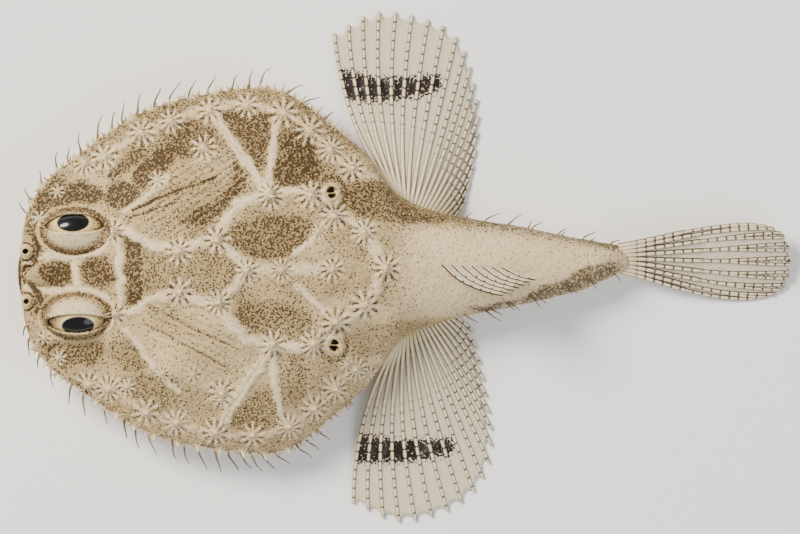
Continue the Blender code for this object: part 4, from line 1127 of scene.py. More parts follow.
@dataclass
class Skin:
    """The one skin of head, disc and tail, with lids, lips, nostrils, rostrum and gill rings."""

    shape: BodyShape
    face: Face
    marks: Markings
    voxel: float = 0.13
    quick_share: float = 1.6
    gill_ring: Point2 = (0.86, 1.14)
    gill_ring_radius: float = 0.23
    gill_pit: Point3 = (0.66, 0.95, 1.05)
    gill_flap_radius: float = 0.12
    gill_flap: tuple[Point2, ...] = ((-0.25, 1.0), (0.38, 0.45), (-0.34, -0.35), (0.25, -1.0))
    fin_roll: float = 72.0
    fin_centre: float = 0.75
    fin_height: float = 3.4

    def lip(self, z: float, forward: float) -> Object:
        """A lip: a rounded roll across the front of the snout."""
        half = self.face.lip_half_width
        shape = [(-48.0, half), (-48.9, 2.5), (-49.3, 0), (-48.9, -2.5), (-48.0, -half)]
        path = [(x + forward, y, z) for x, y in smooth_path(shape, 31)]
        radius = self.face.lip_radius
        return tube_object(path, [radius * (0.75 + 0.25 * math.sin(math.pi * k / 30)) for k in range(31)])

    def gill_frames(self, plain: "Surface") -> Iterator[tuple[int, Vector, Quaternion]]:
        """The side, the middle and the turn of each gill opening."""
        for x, y in self.marks.gills:
            place, normal = plain.back(x, y)
            yield (1 if y > 0 else -1), place, normal.to_track_quat("Z", "Y")

    def grown(self, plain: "Surface") -> list[Object]:
        """Makes what stands out of the body.

        Args:
            plain: The body before anything grew on it.

        Returns:
            Lips, eye domes, nostrils, rostrum and gill rings, as closed pieces.
        """
        face = self.face
        pieces = [self.lip(face.upper_lip_z, 0.42), self.lip(face.lower_lip_z, -0.08)]
        pieces += [ball(face.eye(side), face.dome_radii) for side in BOTH]
        for x, y in face.nostrils:
            pieces.append(ball((x + 0.2, y, 6.9), (0.95, 1.3, 0.95)))
            path = [(x + 0.1, y, 6.6), (x, y, 7.5), (x, y, face.nostril_top)]
            pieces.append(tube_object(path, [0.85, 0.72, 0.58]))
        root, tip = Vector(face.rostrum_root), Vector(face.rostrum_tip)
        path = [root.lerp(tip, k / 12) for k in range(13)]
        widths = [face.rostrum_half_width * math.sqrt(max(1 - (k / 12) ** 1.7, 0)) for k in range(13)]
        pieces.append(tube_object(path, widths, 24, 0.45, Vector((0, 1, 0))))
        wide, long = self.gill_ring
        for _, place, turn in self.gill_frames(plain):
            matrix, angles = turn.to_matrix().to_4x4(), [TAU * k / 48 for k in range(49)]
            loop = [place + matrix @ Vector((wide * math.cos(a), long * math.sin(a), 0.08)) for a in angles]
            for part in (loop[:26], loop[24:]):
                pieces.append(tube_object(part, [self.gill_ring_radius] * len(part), 12))
        return pieces

    def cut(self, plain: "Surface") -> list[Object]:
        """Makes what is taken from the body.

        Args:
            plain: The body before anything grew on it.

        Returns:
            The lure's hollow, mouth line, sockets, eye openings, nostrils and gill pits.
        """
        face = self.face
        pieces = [ball(face.cavity_at, face.cavity_radii)]
        slit = [(-48.4, 3.4), (-49.2, 2.2), (-49.6, 0), (-49.2, -2.2), (-48.4, -3.4)]
        path = [(x, y, face.slit_z(y)) for x, y in smooth_path(slit, 25)]
        pieces.append(tube_object(path, [0.9] * 25, 24, 0.32, Vector((1, 0, 0))))
        wide, high = face.opening
        for side in BOTH:
            gaze, (middle, _) = face.gaze(side), face.opening_axis(side)
            pieces.append(ball(face.eye(side), [r + 0.04 for r in face.eye_radii]))
            path = [middle + gaze * 0.9, middle + gaze * 6]
            pieces.append(tube_object(path, [wide] * 2, 64, high / wide, Vector((1, 0, 0))))
        for x, y in face.nostrils:
            path = [Vector((x, y, face.nostril_top)) + Vector((0, 0, z)) for z in (-0.9, 0.5)]
            pieces.append(tube_object(path, [face.nostril_hole] * 2))
        for _, place, turn in self.gill_frames(plain):
            pieces.append(ball(place, self.gill_pit, turn.to_matrix().to_4x4()))
        return pieces

    def flaps(self, plain: "Surface") -> list[Object]:
        """The small S-shaped valve that stands across each gill opening."""
        pieces = []
        for side, place, turn in self.gill_frames(plain):
            bends = smooth_path([(a, b * side) for a, b in self.gill_flap], 17)
            path = [place + turn @ Vector((a, b, -0.02)) for a, b in bends]
            radii = [self.gill_flap_radius] * 17
            pieces.append(tube_object(path, radii, 12, 1.6, turn @ Vector((1, 0, 0))))
        return pieces

    def lid_rolls(self) -> list[Object]:
        """The soft rounded margins of the lids."""
        pieces = []
        for side in BOTH:
            middle = self.face.eye(side)
            edge = [p + (middle - p).normalized() * 0.1 for p in self.face.lid_edge(side)]
            for part in (edge[:50], edge[46:]):
                pieces.append(tube_object(part, [self.face.lid_roll] * len(part), 12))
        return pieces

    def thin_tail_end(self, points: Array) -> None:
        """Flattens the tail's end into the plane of the tail fin and draws in its left side."""
        last = self.shape.tail_end
        points[:, 0] -= 0.78 * np.maximum(points[:, 0] - last + 1.4, 0)
        points[:, 1] -= np.minimum(points[:, 1], 0) * 0.5 * smoothstep(last - 6.5, last, points[:, 0])
        roll = math.radians(self.fin_roll)
        normal = np.array([0.0, math.cos(roll), -math.sin(roll)])
        height = (points - (0.0, self.fin_centre, self.fin_height)) @ normal
        points -= np.outer(height * 0.62 * smoothstep(last - 4.5, last + 0.2, points[:, 0]), normal)

    def shade_hollows(self, points: Array, marks: dict[str, Array], top: Array, plain: "Surface") -> None:
        """Darkens the mouth line, the nostrils, the lure's hollow and the gill openings.

        Args:
            points: Places of the skin, in millimetres.
            marks: What was read for them; dark and pale are changed.
            top: The share of the back's colour, raised where a hollow is dark.
            plain: The body before anything grew on it.
        """
        face = self.face
        x, y, z = points.T
        hollow = smoothstep(0.42, 0.24, np.abs(z - face.slit_z(y))) * smoothstep(-47.9, -48.5, x)
        hollow *= smoothstep(face.lip_half_width + 0.2, face.lip_half_width - 0.3, np.abs(y))
        cavity = np.linalg.norm((points - face.cavity_at) / face.cavity_radii, axis=1)
        hollow = np.maximum(hollow, 0.8 * smoothstep(1.12, 0.98, cavity))
        above = smoothstep(6.4, 6.9, z)
        wells = [(place.x, place.y, 0.85, place.z - 0.02) for _, place, _ in self.gill_frames(plain)]
        for hole_x, hole_y in face.nostrils:
            wells.append((hole_x, hole_y, face.nostril_hole + 0.1, face.nostril_top - 0.05))
            reach = np.hypot(x - hole_x, y - hole_y)
            marks["dark"] *= 1 - 0.8 * smoothstep(1.05, 0.75, reach) * above
            foot = bell(reach - 1.12, 0.2) * above
            marks["dark"] = np.maximum(marks["dark"], 0.95 * foot)
            marks["pale"] *= 1 - foot
        for hole_x, hole_y, radius, level in wells:
            inside = smoothstep(radius + 0.08, radius - 0.08, np.hypot(x - hole_x, y - hole_y))
            deep = smoothstep(level, level - 0.25, z) * smoothstep(level - 1.6, level - 1.3, z)
            hollow = np.maximum(hollow, inside * deep)
        marks["dark"] = np.maximum(marks["dark"], hollow)
        marks["pale"] *= 1 - hollow
        np.maximum(top, hollow, out=top)

    def join(self, obj: Object, pieces: list[Object], operation: str) -> None:
        """Joins closed pieces to an object, or cuts them from it, and removes them."""
        group = bpy.data.collections.new("pieces")
        bpy.context.scene.collection.children.link(group)
        for piece in pieces:
            group.objects.link(piece)
        modifier = obj.modifiers.new(operation.lower(), "BOOLEAN")
        modifier.operation, modifier.operand_type = operation, "COLLECTION"
        modifier.collection, modifier.solver = group, "MANIFOLD"
        apply_modifiers(obj)
        for piece in pieces:
            bpy.data.objects.remove(piece)
        bpy.data.collections.remove(group)

    def make(self, material: Material) -> Object:
        """Builds the skin and its relief and markings.

        Args:
            material: The skin's finish.

        Returns:
            The piece, in metres.
        """
        body = self.shape.solid()
        plain = Surface(body)
        self.join(body, self.grown(plain), "UNION")
        self.join(body, self.cut(plain), "DIFFERENCE")
        self.join(body, self.flaps(plain) + self.lid_rolls(), "UNION")
        remesh = body.modifiers.new("even", "REMESH")
        remesh.mode, remesh.voxel_size = "VOXEL", self.voxel * 1.0
        calm = body.modifiers.new("calm", "SMOOTH")
        calm.factor, calm.iterations = 0.5, 2
        apply_modifiers(body)
        mesh = body.data
        bpy.data.objects.remove(body)
        points = read_rows(mesh.vertices, "co")
        self.thin_tail_end(points)
        normals = read_rows(mesh.vertex_normals, "vector")
        above = points[:, 2] - self.shape.heights_at(points[:, 0])[1]
        top = smoothstep(-0.7, 0.3, above + 1.7 * smoothstep(-46.5, -48.5, points[:, 0]))
        raised = top * smoothstep(-0.05, 0.3, normals[:, 2])
        marks = self.marks.read(points)
        self.shade_hollows(points, marks, top, plain)
        edge = bell(above - 0.45, 0.45) * smoothstep(4.0, 0.0, points[:, 0])
        grain = 0.75 + 0.5 * self.marks.noise.at(points, 0.8)
        marks["dark"] = np.maximum(marks["dark"], 0.62 * edge * grain)
        marks["pale"] *= 1 - 0.7 * edge
        blush, below = self.marks.read_belly(points)
        rise = marks["rise"] * raised + below * (1 - raised)
        mesh.vertices.foreach_set("co", ((points + normals * rise[:, None]) * MM).ravel())
        mesh.update()
        dark = marks["dark"] * top + blush * (1 - top)
        return dressed("skin", mesh, material, {"dark": dark, "pale": marks["pale"] * top, "under": 1 - top})


def read_rows(items: Any, name: str) -> Array:
    """Reads a vector of every item of a mesh, one a row."""
    values = np.empty(len(items) * 3)
    items.foreach_get(name, values)
    return values.reshape(-1, 3)


def apply_modifiers(obj: Object) -> None:
    """Makes an object's modifiers a part of its mesh."""
    graph = bpy.context.evaluated_depsgraph_get()
    made = bpy.data.meshes.new_from_object(obj.evaluated_get(graph), depsgraph=graph)
    obj.modifiers.clear()
    obj.data = made


class Surface:
    """A closed mesh as a surface to plant things on, in millimetres."""

    def __init__(self, obj: Object, scale: float = 1.0) -> None:
        """Indexes the mesh; scale turns its coordinates to millimetres."""
        corners = [Vector(p) for p in read_rows(obj.data.vertices, "co") * scale]
        self.tree = BVHTree.FromPolygons(corners, [tuple(p.vertices) for p in obj.data.polygons])

    def back(self, x: float, y: float) -> Planted:
        """The point and the normal of the back at (x, y), or none past the rim."""
        return self.tree.ray_cast(Vector((x, y, 40.0)), Vector((0, 0, -1)))[:2]

    def belly(self, x: float, y: float) -> Planted:
        """The point and the normal of the belly at (x, y), or none past the rim."""
        return self.tree.ray_cast(Vector((x, y, -40.0)), Vector((0, 0, 1)))[:2]

    def nearest(self, place: Vector) -> Planted:
        """The surface's nearest point to a place, with its normal."""
        return self.tree.find_nearest(place)[:2]


@dataclass
class Tubercles:
    """The star-shaped spines of the back, the forked ones along the rim, and small prickles."""

    shape: BodyShape
    marks: Markings
    surface: Surface
    unwrap: Unwrap
    reach: float = 1.2
    spine: float = 0.6
    rim_spine: float = 1.1
    rim_step: float = 0.95
    rim_ends: Point2 = (-49.0, -6.5)
    rim_start: float = 2.6
    prickles: int = 2400
    prickle_field: tuple[Point2, Point2] = ((-48, 28), (-22.5, 22.5))
    large_at: float = -16.4
    seed: int = 23

    def star(
        self, mould: Mould, rng: random.Random, place: Vector, normal: Vector, size: float, spin: float,
        arms: int, spine: float,
    ) -> None:
        """Adds one star: a pointed spine with tapered arms that run down into the skin.

        Args:
            mould: Where it is added.
            rng: The source of its small differences.
            place: Its middle, on the skin.
            normal: The way that its spine points.
            size: Its scale; 1 has arms about as long as the reach.
            spin: Where its first arm lies.
            arms: How many arms it has.
            spine: How far the spine stands out at size 1.
        """
        patch = self.unwrap.at(place)
        one = Vector((1, 0, 0)) if abs(normal.x) < 0.7 else Vector((0, 0, 1))
        one = (one - normal * one.dot(normal)).normalized()
        two = normal.cross(one)
        lean = Vector((0.22, 0, 0)) * size
        path = [place - normal * 0.25, place + normal * 0.1 * size]
        path += [place + normal * spine * 0.6 * size + lean * 0.4, place + normal * spine * size + lean]
        radii = [0.42 * size, 0.3 * size, 0.13 * size, 0]
        mould.tube(path, radii, 10, tones=[0.6, 0.35, 0.1, 0.3], patch=patch)
        for k in range(arms):
            angle = spin + TAU * k / arms + rng.uniform(-0.08, 0.08)
            reach = self.reach * size * rng.uniform(0.7, 1.3)
            bend = rng.uniform(-0.18, 0.18)
            branches = [(0.0, reach, bend)]
            if rng.random() < 0.4:
                branches.append((0.45, reach * rng.uniform(0.75, 0.95), bend + rng.choice((-0.55, 0.55))))
            for start, length, curl in branches:
                shares = [start + (1 - start) * step for step in (0.0, 0.2, 0.4, 0.6, 0.8, 1.0)]
                arm = []
                for share in shares:
                    turn = angle + bend * start + curl * (share - start)
                    spot = place + (one * math.cos(turn) + two * math.sin(turn)) * length * share
                    spot, out = self.surface.nearest(spot)
                    arm.append(spot + out * (0.15 * size * (1 - share) ** 1.3 - 0.06 * share))
                radii = [(0.16 - 0.11 * share) * size for share in shares[:-1]] + [0]
                mould.tube(arm, radii, 6, tones=[0.2 + 0.55 * share for share in shares], patch=patch)

    def rim_star(
        self, mould: Mould, rng: random.Random, path: Array, x: float, side: int, number: int
    ) -> None:
        """Adds one tubercle that points out from the rim; every third is a large star.

        Args:
            mould: Where it is added.
            rng: The source of its small differences.
            path: The outline in plan.
            x: Where along the fish it stands.
            side: The sign of its y.
            number: Its place in the row.
        """
        place, out = self.shape.station(path, x, side)
        place = place + Vector((0, 0, rng.uniform(0.1, 0.6))) + out * 0.4
        place, normal = self.surface.nearest(place)
        aim = (normal * 0.5 + out + Vector((0.1, 0, rng.uniform(0.05, 0.4)))).normalized()
        if number % 3 == 0 or (side > 0 and abs(x - self.large_at) < 0.6):
            size = rng.uniform(0.9, 1.2)
            self.star(mould, rng, place, aim, size, rng.uniform(0, 1), rng.randint(7, 9), self.rim_spine)
            return
        patch, along = self.unwrap.at(place), Vector((-out.y, out.x, 0))
        prongs = rng.choice((1, 2, 2))
        for k in range(prongs):
            lean = (k - (prongs - 1) / 2) * rng.uniform(0.7, 1.0) + rng.uniform(-0.2, 0.2)
            way = (aim + along * lean).normalized() * rng.uniform(0.55, 1.0)
            lift = Vector((0.12, 0, 0.08))
            spots = [place + way * s + lift * max(s, 0) ** 2 for s in (-0.5, 0.0, 0.35, 0.7, 1.0)]
            mould.tube(spots, [0.2, 0.18, 0.12, 0.07, 0], 8, tones=[0.8, 0.75, 0.6, 0.6, 1.0], patch=patch)

    def add_prickles(self, mould: Mould, rng: random.Random) -> None:
        """Adds small pointed granules all over the back, each in the tone of the skin round it."""
        draws = [[rng.uniform(*ends) for ends in self.prickle_field] for _ in range(self.prickles)]
        tried = [self.surface.back(x, y) for x, y in draws]
        spots = [(place, normal) for place, normal in tried if place is not None and normal.z > 0.35]
        places = np.array([place for place, _ in spots])
        darks, calms = self.marks.read(places)["dark"], self.marks.calm(places[:, :2])
        for (place, normal), dark, calm in zip(spots, darks, calms):
            if calm < 0.9:
                continue
            size = rng.uniform(0.5, 1.05) * (0.7 if place.x > 4 else 1.0)
            tip = place + normal * 0.3 * size + Vector((0.12, 0, 0)) * size
            path = [place - normal * 0.1, place + normal * 0.07 * size, place.lerp(tip, 0.6), tip]
            radii, base = [0.17 * size, 0.11 * size, 0.05 * size, 0], 0.35 + 0.75 * float(dark)
            mould.tube(path, radii, 6, tones=[base, base * 0.9, 0.3, 0.2], patch=self.unwrap.at(place))

    def make(self, material: Material) -> list[Object]:
        """Builds the stars, the rim's tubercles and the granules between them."""
        rng = random.Random(self.seed)
        stars, rim, small = Mould(), Mould(), Mould()
        for x, y, size, spin, arms in self.marks.all_stars:
            self.star(stars, rng, *self.surface.back(x, y), size, spin, arms, self.spine)
        path = self.shape.rim(RIM_POINTS)
        for side in BOTH:
            half = path[: len(path) // 2]
            kept = half[(half[:, 0] > self.rim_ends[0]) & (half[:, 0] < self.rim_ends[1])]
            along = lengths_along(kept)
            for number, spot in enumerate(np.arange(self.rim_start, along[-1], self.rim_step)):
                x = float(np.interp(spot + rng.uniform(-0.25, 0.25), along, kept[:, 0]))
                self.rim_star(rim, rng, path, x, side, number)
        self.add_prickles(small, rng)
        names = ("star_tubercles", "rim_tubercles", "prickles")
        return [mould.make(name, material) for name, mould in zip(names, (stars, rim, small))]


@dataclass
class Fringe:
    """The hair-fine skin threads of the disc's rim and the tail's sides.

    A thread of the disc is (x of its root, how far its tip lies from the root in x and in y). One of
    the tail is (root x, root y, tip x, tip y).
    """

    shape: BodyShape
    surface: Surface
    unwrap: Unwrap
    right: tuple[Point3, ...] = (
        (-48.6, -1.1, 1.6), (-47.9, -1.1, 1.9), (-46.4, -0.5, 1.9), (-44.7, 0.1, 2.5), (-43.2, 0.2, 2.2),
        (-41.7, 0.1, 2.8), (-39.4, 0.9, 3.5), (-37.6, 0.6, 2.7), (-36.1, 0.3, 2.8), (-34.2, 0.7, 2.9),
        (-31.9, 0.9, 2.6), (-30, 1.6, 2.8), (-27.6, 1, 2.3), (-25.1, 1.2, 2.2), (-22.2, 1.2, 2.2),
        (-20, 1, 2.4), (-18.7, 1.8, 2.6), (-14.9, 2.3, 1), (-12.7, 2.2, 0.8), (-10.2, 1.4, 0.9),
    )
    left: tuple[Point3, ...] = (
        (-49, -0.4, -1.5), (-48.5, 0, -2.4), (-47.4, -0.1, -1.9), (-45.9, 0.5, -2.6), (-43.2, -0.6, -2.5),
        (-41.7, 0.1, -3.2), (-39, 0.2, -2.2), (-36.5, 0.2, -2.5), (-35.2, 0.7, -3.1), (-33.4, 1.1, -3.1),
        (-30.6, 0.8, -2.6), (-29.2, 1.1, -2.8), (-27.1, 1.2, -3.2), (-24.8, 0.7, -3.2), (-23.3, 1.4, -2.7),
        (-21.9, 1.7, -2.3), (-20.5, 1.9, -2.6), (-19, 1.8, -2.2), (-17.2, 2, -1.6), (-14.4, 2, -1.9),
        (-13.2, 1.7, -1.6), (-11.7, 1.6, -1.5),
    )
    tail: tuple[Flat, ...] = (
        (7.8, 6.4, 8.9, 7), (10.4, 6, 12.5, 6.9), (13.3, 5.5, 15.3, 6.6), (15.9, 5, 16.6, 5.8),
        (16.5, 4.9, 17.9, 5.7), (19.8, 4.1, 21, 4.8), (20.3, 4, 20.9, 4.3), (23, 3.4, 24.9, 4.3),
        (24, 3.2, 24.7, 3.4), (26.6, 2.7, 28, 3.1), (7.6, -6.3, 9.4, -7.3), (10.2, -5.9, 12.4, -7.1),
        (10.9, -5.5, 12.5, -6.4), (13.4, -4.7, 14.7, -5.8), (13.2, -5, 14, -5.8), (16, -3.7, 17.6, -5.6),
        (16.9, -3.9, 18.2, -4.9), (20, -2.2, 21.7, -3.7), (20.7, -2.9, 22.3, -3.7), (22.7, -0.8, 24.7, -3.3),
        (23, -1.4, 24.9, -2.7), (26.6, -0.6, 27.8, -2.4),
    )
    radius: float = 0.165
    seed: int = 31

    def thread(
        self, mould: Mould, rng: random.Random, root: Vector, out: Vector, tip: Vector, radius: float
    ) -> None:
        """Adds one thread that leaves its root straight out and bends towards its tip.

        Args:
            mould: Where it is added.
            rng: The source of its lift and sway.
            root: Where it starts.
            out: The way straight out of the skin there.
            tip: Where it ends.
            radius: How thick it is at its root.
        """
        length = (tip - root).length
        bend = root + (out * 0.4 + (tip - root).normalized() * 0.6).normalized() * length * 0.5
        bend += Vector((0, 0, rng.uniform(0.0, 0.25))) * length * 0.3
        sway = Vector((-out.y, out.x, 0)) * length * rng.uniform(0.02, 0.05) * rng.choice((1, -1))
        shares = [k / 12 for k in range(13)]
        path = [bezier(root, bend, tip, t) + sway * math.sin(TAU * t) for t in shares]
        radii = [radius * (0.3 + 0.7 * (1 - t) ** 1.6) for t in shares[:-1]]
        tones = [0.3] + [0.45 + 0.6 * t**0.7 for t in shares]
        patch = self.unwrap.at(root)
        mould.tube([root - out * 0.6, *path], [radius * 1.1, *radii, 0], 8, tones=tones, patch=patch)

    def make(self, material: Material) -> Object:
        """Builds every thread."""
        mould, rng = Mould(), random.Random(self.seed)
        path = self.shape.rim(RIM_POINTS)
        for side, rows in ((1, self.right), (-1, self.left)):
            for x, across, up in rows:
                place, out = self.shape.station(path, x, side)
                place.z += rng.uniform(-0.25, 0.25)
                tip = place + Vector((across, up, rng.uniform(-0.7, 0.5)))
                self.thread(mould, rng, place - out * 0.15, out, tip, self.radius * rng.uniform(0.85, 1.15))
        for root_x, root_y, tip_x, tip_y in self.tail:
            place, normal = self.surface.back(root_x, root_y * 0.97)
            if place is None:
                place, normal = self.shape.station(path, root_x, 1 if root_y > 0 else -1)
            tip = Vector((tip_x, tip_y, place.z + rng.uniform(0.0, 0.5)))
            out = (normal + Vector((0.3, 0, 0))).normalized()
            self.thread(mould, rng, place - out * 0.1, out, tip, self.radius * 0.85)
        return mould.make("fringe", material)


@dataclass
class Fin:
    """A fin: jointed bony rays under thin skin, with a clear web between them."""

    name: str
    node: str
    rays: list[Ray]
    radius: Point2 = (0.3, 0.22)
    joint: float = 1.2
    first_joint: float = 2.0
    scallop: float = 0.7
    free: Sequence[float] = (0.0,)
    # How much painted shade darkens the sides of each ray.
    edge_tone: float = 0.72
    jointed_from: float = 0.0
    split: float = 0.0
    joint_ink: float = 0.85
    web_thickness: float = 0.07
    web_tone: float = 0.08
    bar: Callable[[float, float], float] | None = None

    def split_ray(self, k: int, share: float) -> Ray:
        """A branch of ray k that drifts towards its neighbour as it nears the edge."""
        ray = self.rays[k]
        other = self.rays[min(max(k + (1 if share > 0 else -1), 0), len(self.rays) - 1)]
        return lambda t: ray(t).lerp(other(t), abs(share) * float(smoothstep(self.split - 0.05, 1.0, t)))

    def rod(self, mould: Mould, ray: Ray, wide: Vector, start: float, end: float, widen: float) -> None:
        """Adds one jointed ray or a branch of it.

        Args:
            mould: Where it is added.
            ray: Its middle line.
            wide: The way from ray to ray.
            start: The share of the line where it starts.
            end: The share where it ends.
            widen: Its thickness as a share of the fin's.
        """
        shares = np.linspace(start, end, 60)
        spots = [ray(float(t)) for t in shares]
        along = np.append(0, np.cumsum([(b - a).length for a, b in zip(spots, spots[1:])]))
        length = along[-1]
        rings: list[Point3] = [(0.0, 1.0, 0.1), (length - 0.12, 0.85, 0.2), (length, 0.0, 0.3)]
        for at in np.arange(self.first_joint if start == 0 else self.joint * 0.4, length - 0.5, self.joint):
            at_share = np.interp(at, along, shares)
            ink = self.joint_ink * float(smoothstep(self.jointed_from, self.jointed_from + 0.25, at_share))
            waist = 1 - 0.16 * ink
            rings += [(at - 0.17, 1.03, 0.06), (at - 0.06, waist, ink), (at + 0.06, waist, ink)]
            rings += [(at + 0.17, 1.03, 0.06), (at + self.joint * 0.5, 1.0, 0.02)]
        rings = sorted(ring for ring in rings if ring[0] <= length)
        reached = [float(np.interp(place, along, shares)) for place, _, _ in rings]
        root, tip = self.radius
        radii = [(root + (tip - root) * t) * ring[1] * widen for t, ring in zip(reached, rings)]
        tones = [tone for _, _, tone in rings]
        mould.tube([ray(t) for t in reached], radii, 12, 0.85, wide, tones, self.edge_tone)

    def web(self, mould: Mould, k: int) -> None:
        """Adds the web between ray k and the next one."""
        one, two = self.rays[k], self.rays[k + 1]
        columns, rows = 11, 44
        free = [self.free[min(i, len(self.free) - 1)] for i in (k, k + 1)]
        lengths = [sum((r((i + 1) / 20) - r(i / 20)).length for i in range(20)) for r in (one, two)]
        grid, tones = [], []
        for s in (c / (columns - 1) for c in range(columns)):
            length = lengths[0] * (1 - s) + lengths[1] * s
            short = free[0] * (1 - s) + free[1] * s
            short += self.scallop * (1 + 0.35 * (free[0] + free[1])) * (1 - abs(2 * s - 1) ** 2.2)
            reach = 1 - (short + 0.1) / length
            grid.append([])
            tones.append([])
            for r in range(rows):
                t = reach * r / (rows - 1)
                place = one(t).lerp(two(t), s)
                place.z = max(place.z - 0.08 * math.sin(math.pi * s), 0.06)
                edge = smoothstep(0.93, 1.0, t / reach) * 0.16
                # The web is darker next to each ray: painted shade where it meets the rays.
                tone = self.web_tone + float(edge) + 0.3 * (abs(2 * s - 1) ** 8)
                if self.bar:
                    tone += self.bar(place.x, place.y)
                grid[-1].append(place)
                tones[-1].append(min(tone, 1.0))
        mould.sheet(grid, tones, self.web_thickness)

    def make(self, rod_material: Material, web_material: Material) -> None:
        """Builds the rays and the web and fixes both to the fish."""
        rods, webs = Mould(), Mould()
        last = len(self.rays) - 1
        for k, ray in enumerate(self.rays):
            wide = (self.rays[min(k + 1, last)](0.8) - self.rays[max(k - 1, 0)](0.8)).normalized()
            if self.split:
                self.rod(rods, ray, wide, 0.0, self.split, 1.0)
                for share in (-0.24, 0.24):
                    self.rod(rods, self.split_ray(k, share), wide, self.split - 0.04, 0.995, 0.72)
            else:
                self.rod(rods, ray, wide, 0.0, 1.0, 1.0)
            if k < last:
                self.web(webs, k)
        attach(rods.make(f"{self.name}_rays", rod_material), "fin", self.node)
        attach(webs.make(f"{self.name}_web", web_material), "fin")


def shares_of(count: int) -> list[tuple[int, float]]:
    """Numbers and even shares from 0 to 1 of so many things."""
    return [(k, k / (count - 1)) for k in range(count)]


@dataclass
class FinPlan:
    """Where the rays of every fin run, from the named sizes that the solids have too."""

    surface: Surface
    pectoral_count: int = 19
    pectoral_root: tuple[Point2, ...] = ((-1.3, 9.8), (0.2, 8.3), (2.2, 7.0), (5.0, 5.7))
    pectoral_tips: tuple[tuple[Point2, ...], ...] = (
        ((-8.6, 30.6), (-2.3, 33.3), (6.7, 30.4), (9.7, 22.0), (9.5, 15.5), (8.1, 8.9)),
        ((-7.2, 30.5), (-0.8, 33.0), (7.2, 30.4), (10.8, 24.0), (10.1, 15.5), (8.8, 8.5)),
    )
    departures: tuple[Flat, ...] = ((126.0, 98.0, 68.0, 50.0, 22.0), (122.0, 95.0, 68.0, 50.0, 22.0))
    bow: float = 0.5
    root_z: Point2 = (3.5, 4.4)
    tip_z: float = 0.3
    caudal_count: int = 9
    caudal_root_half: float = 1.7
    caudal_root_shift: float = 0.75
    caudal_root_z: float = 3.25
    caudal_tip_half: float = 5.1
    caudal_length: float = 20.8
    caudal_roll: float = 72.0
    caudal_drop: float = 1.55
    caudal_sunk: float = 1.6
    tail_end: float = 29.2
    dorsal_count: int = 7
    dorsal_base: Point2 = (4.7, 12.4)
    dorsal_rake: float = 7.8
    dorsal_reach: float = 5.2
    dorsal_lean: float = 55.0
    anal_count: int = 4
    anal_base: Point2 = (12.0, 15.0)
    pelvic_count: int = 6
    pelvic_base: Point2 = (-28.0, 4.6)
    pelvic_length: float = 11.0
    pelvic_fan: Point2 = (38.0, 108.0)

    def sloping(self, root: Vector, bend: Vector, tip: Vector, height: float, t: float) -> Vector:
        """A pectoral ray's point at share t of its length, as it comes down to the floor."""
        place = bezier(root, bend, tip, t)
        place.z = self.tip_z + (height - self.tip_z) * (1 - t) ** 1.7
        return place

    def pectoral(self, side: Side) -> list[Ray]:
        """Rays of one pectoral fin, from the rear edge of the disc out to the floor."""
        sign, row = side.value, list(Side).index(side)
        roots = smooth_path(self.pectoral_root, self.pectoral_count)
        tips = smooth_path(self.pectoral_tips[row], self.pectoral_count)
        stations = [(k / 4, angle) for k, angle in enumerate(self.departures[row])]
        rays = []
        for k, share in shares_of(self.pectoral_count):
            angle = math.radians(float(smooth_values(stations, share)))
            root, tip = (Vector((ends[k][0], ends[k][1] * sign, 0)) for ends in (roots, tips))
            reach = (tip - root).length * (self.bow - 0.15 * share)
            bend = root + Vector((math.cos(angle), math.sin(angle) * sign, 0)) * reach
            height = self.root_z[0] + (self.root_z[1] - self.root_z[0]) * share
            rays.append(partial(self.sloping, root, bend, tip, height))
        return rays

    def trailing(self, root_up: float, tip_up: float, length: float, t: float) -> Vector:
        """A tail fin ray's point at share t of its length; it starts inside the tail."""
        up = root_up + (tip_up - root_up) * math.sin(t * math.pi / 2) ** 1.2
        x = self.tail_end - self.caudal_sunk + (length + self.caudal_sunk) * t
        roll = Matrix.Rotation(math.radians(-self.caudal_roll), 3, "X")
        return Vector((x, 0, self.caudal_root_z - self.caudal_drop * t)) + roll @ Vector((0, 0, up))

    def caudal(self) -> list[Ray]:
        """Rays of the tail fin, which lies over on its left side."""
        rays = []
        for share in (2 * share - 1 for _, share in shares_of(self.caudal_count)):
            root_up = self.caudal_root_shift + self.caudal_root_half * share
            tip_up = self.caudal_tip_half * math.sin(share * math.pi / 2)
            length = self.caudal_length * (1 - 0.24 * abs(share) ** 2.6)
            rays.append(partial(self.trailing, root_up, tip_up, length))
        return rays

    def dorsal(self) -> list[Ray]:
        """Rays of the small dorsal fin, laid back and over to the left."""
        tilt = math.radians(self.dorsal_lean)
        lean = Vector((0, -math.sin(tilt), math.cos(tilt)))
        rays = []
        for _, share in shares_of(self.dorsal_count):
            x = self.dorsal_base[0] + (self.dorsal_base[1] - self.dorsal_base[0]) * share
            y = 0.6 * (1 - share) - 0.1
            root = Vector((x, y, self.surface.back(x, y)[0].z - 0.3))
            reach, rake = self.dorsal_reach * (1 - 0.6 * share), self.dorsal_rake * (1 - 0.44 * share)
            tip = root + lean * reach + Vector((rake, 0, 0.5))
            bend = root + lean * reach * 0.75 + Vector((rake * 0.3, 0, 0.6))
            rays.append(partial(bezier, root, bend, tip))
        return rays

    def anal(self) -> list[Ray]:
        """Rays of the anal fin, laid back under the tail to the floor."""
        rays = []
        for _, share in shares_of(self.anal_count):
            x = self.anal_base[0] + (self.anal_base[1] - self.anal_base[0]) * share
            root = Vector((x, 0, self.surface.belly(x, 0)[0].z + 0.5))
            tip = Vector((x + 6.4 - 1.6 * share, -2.6 + 1.9 * share, self.tip_z))
            rays.append(partial(bezier, root, Vector((x + 1.2, -0.3, root.z - 1.5)), tip))
        return rays

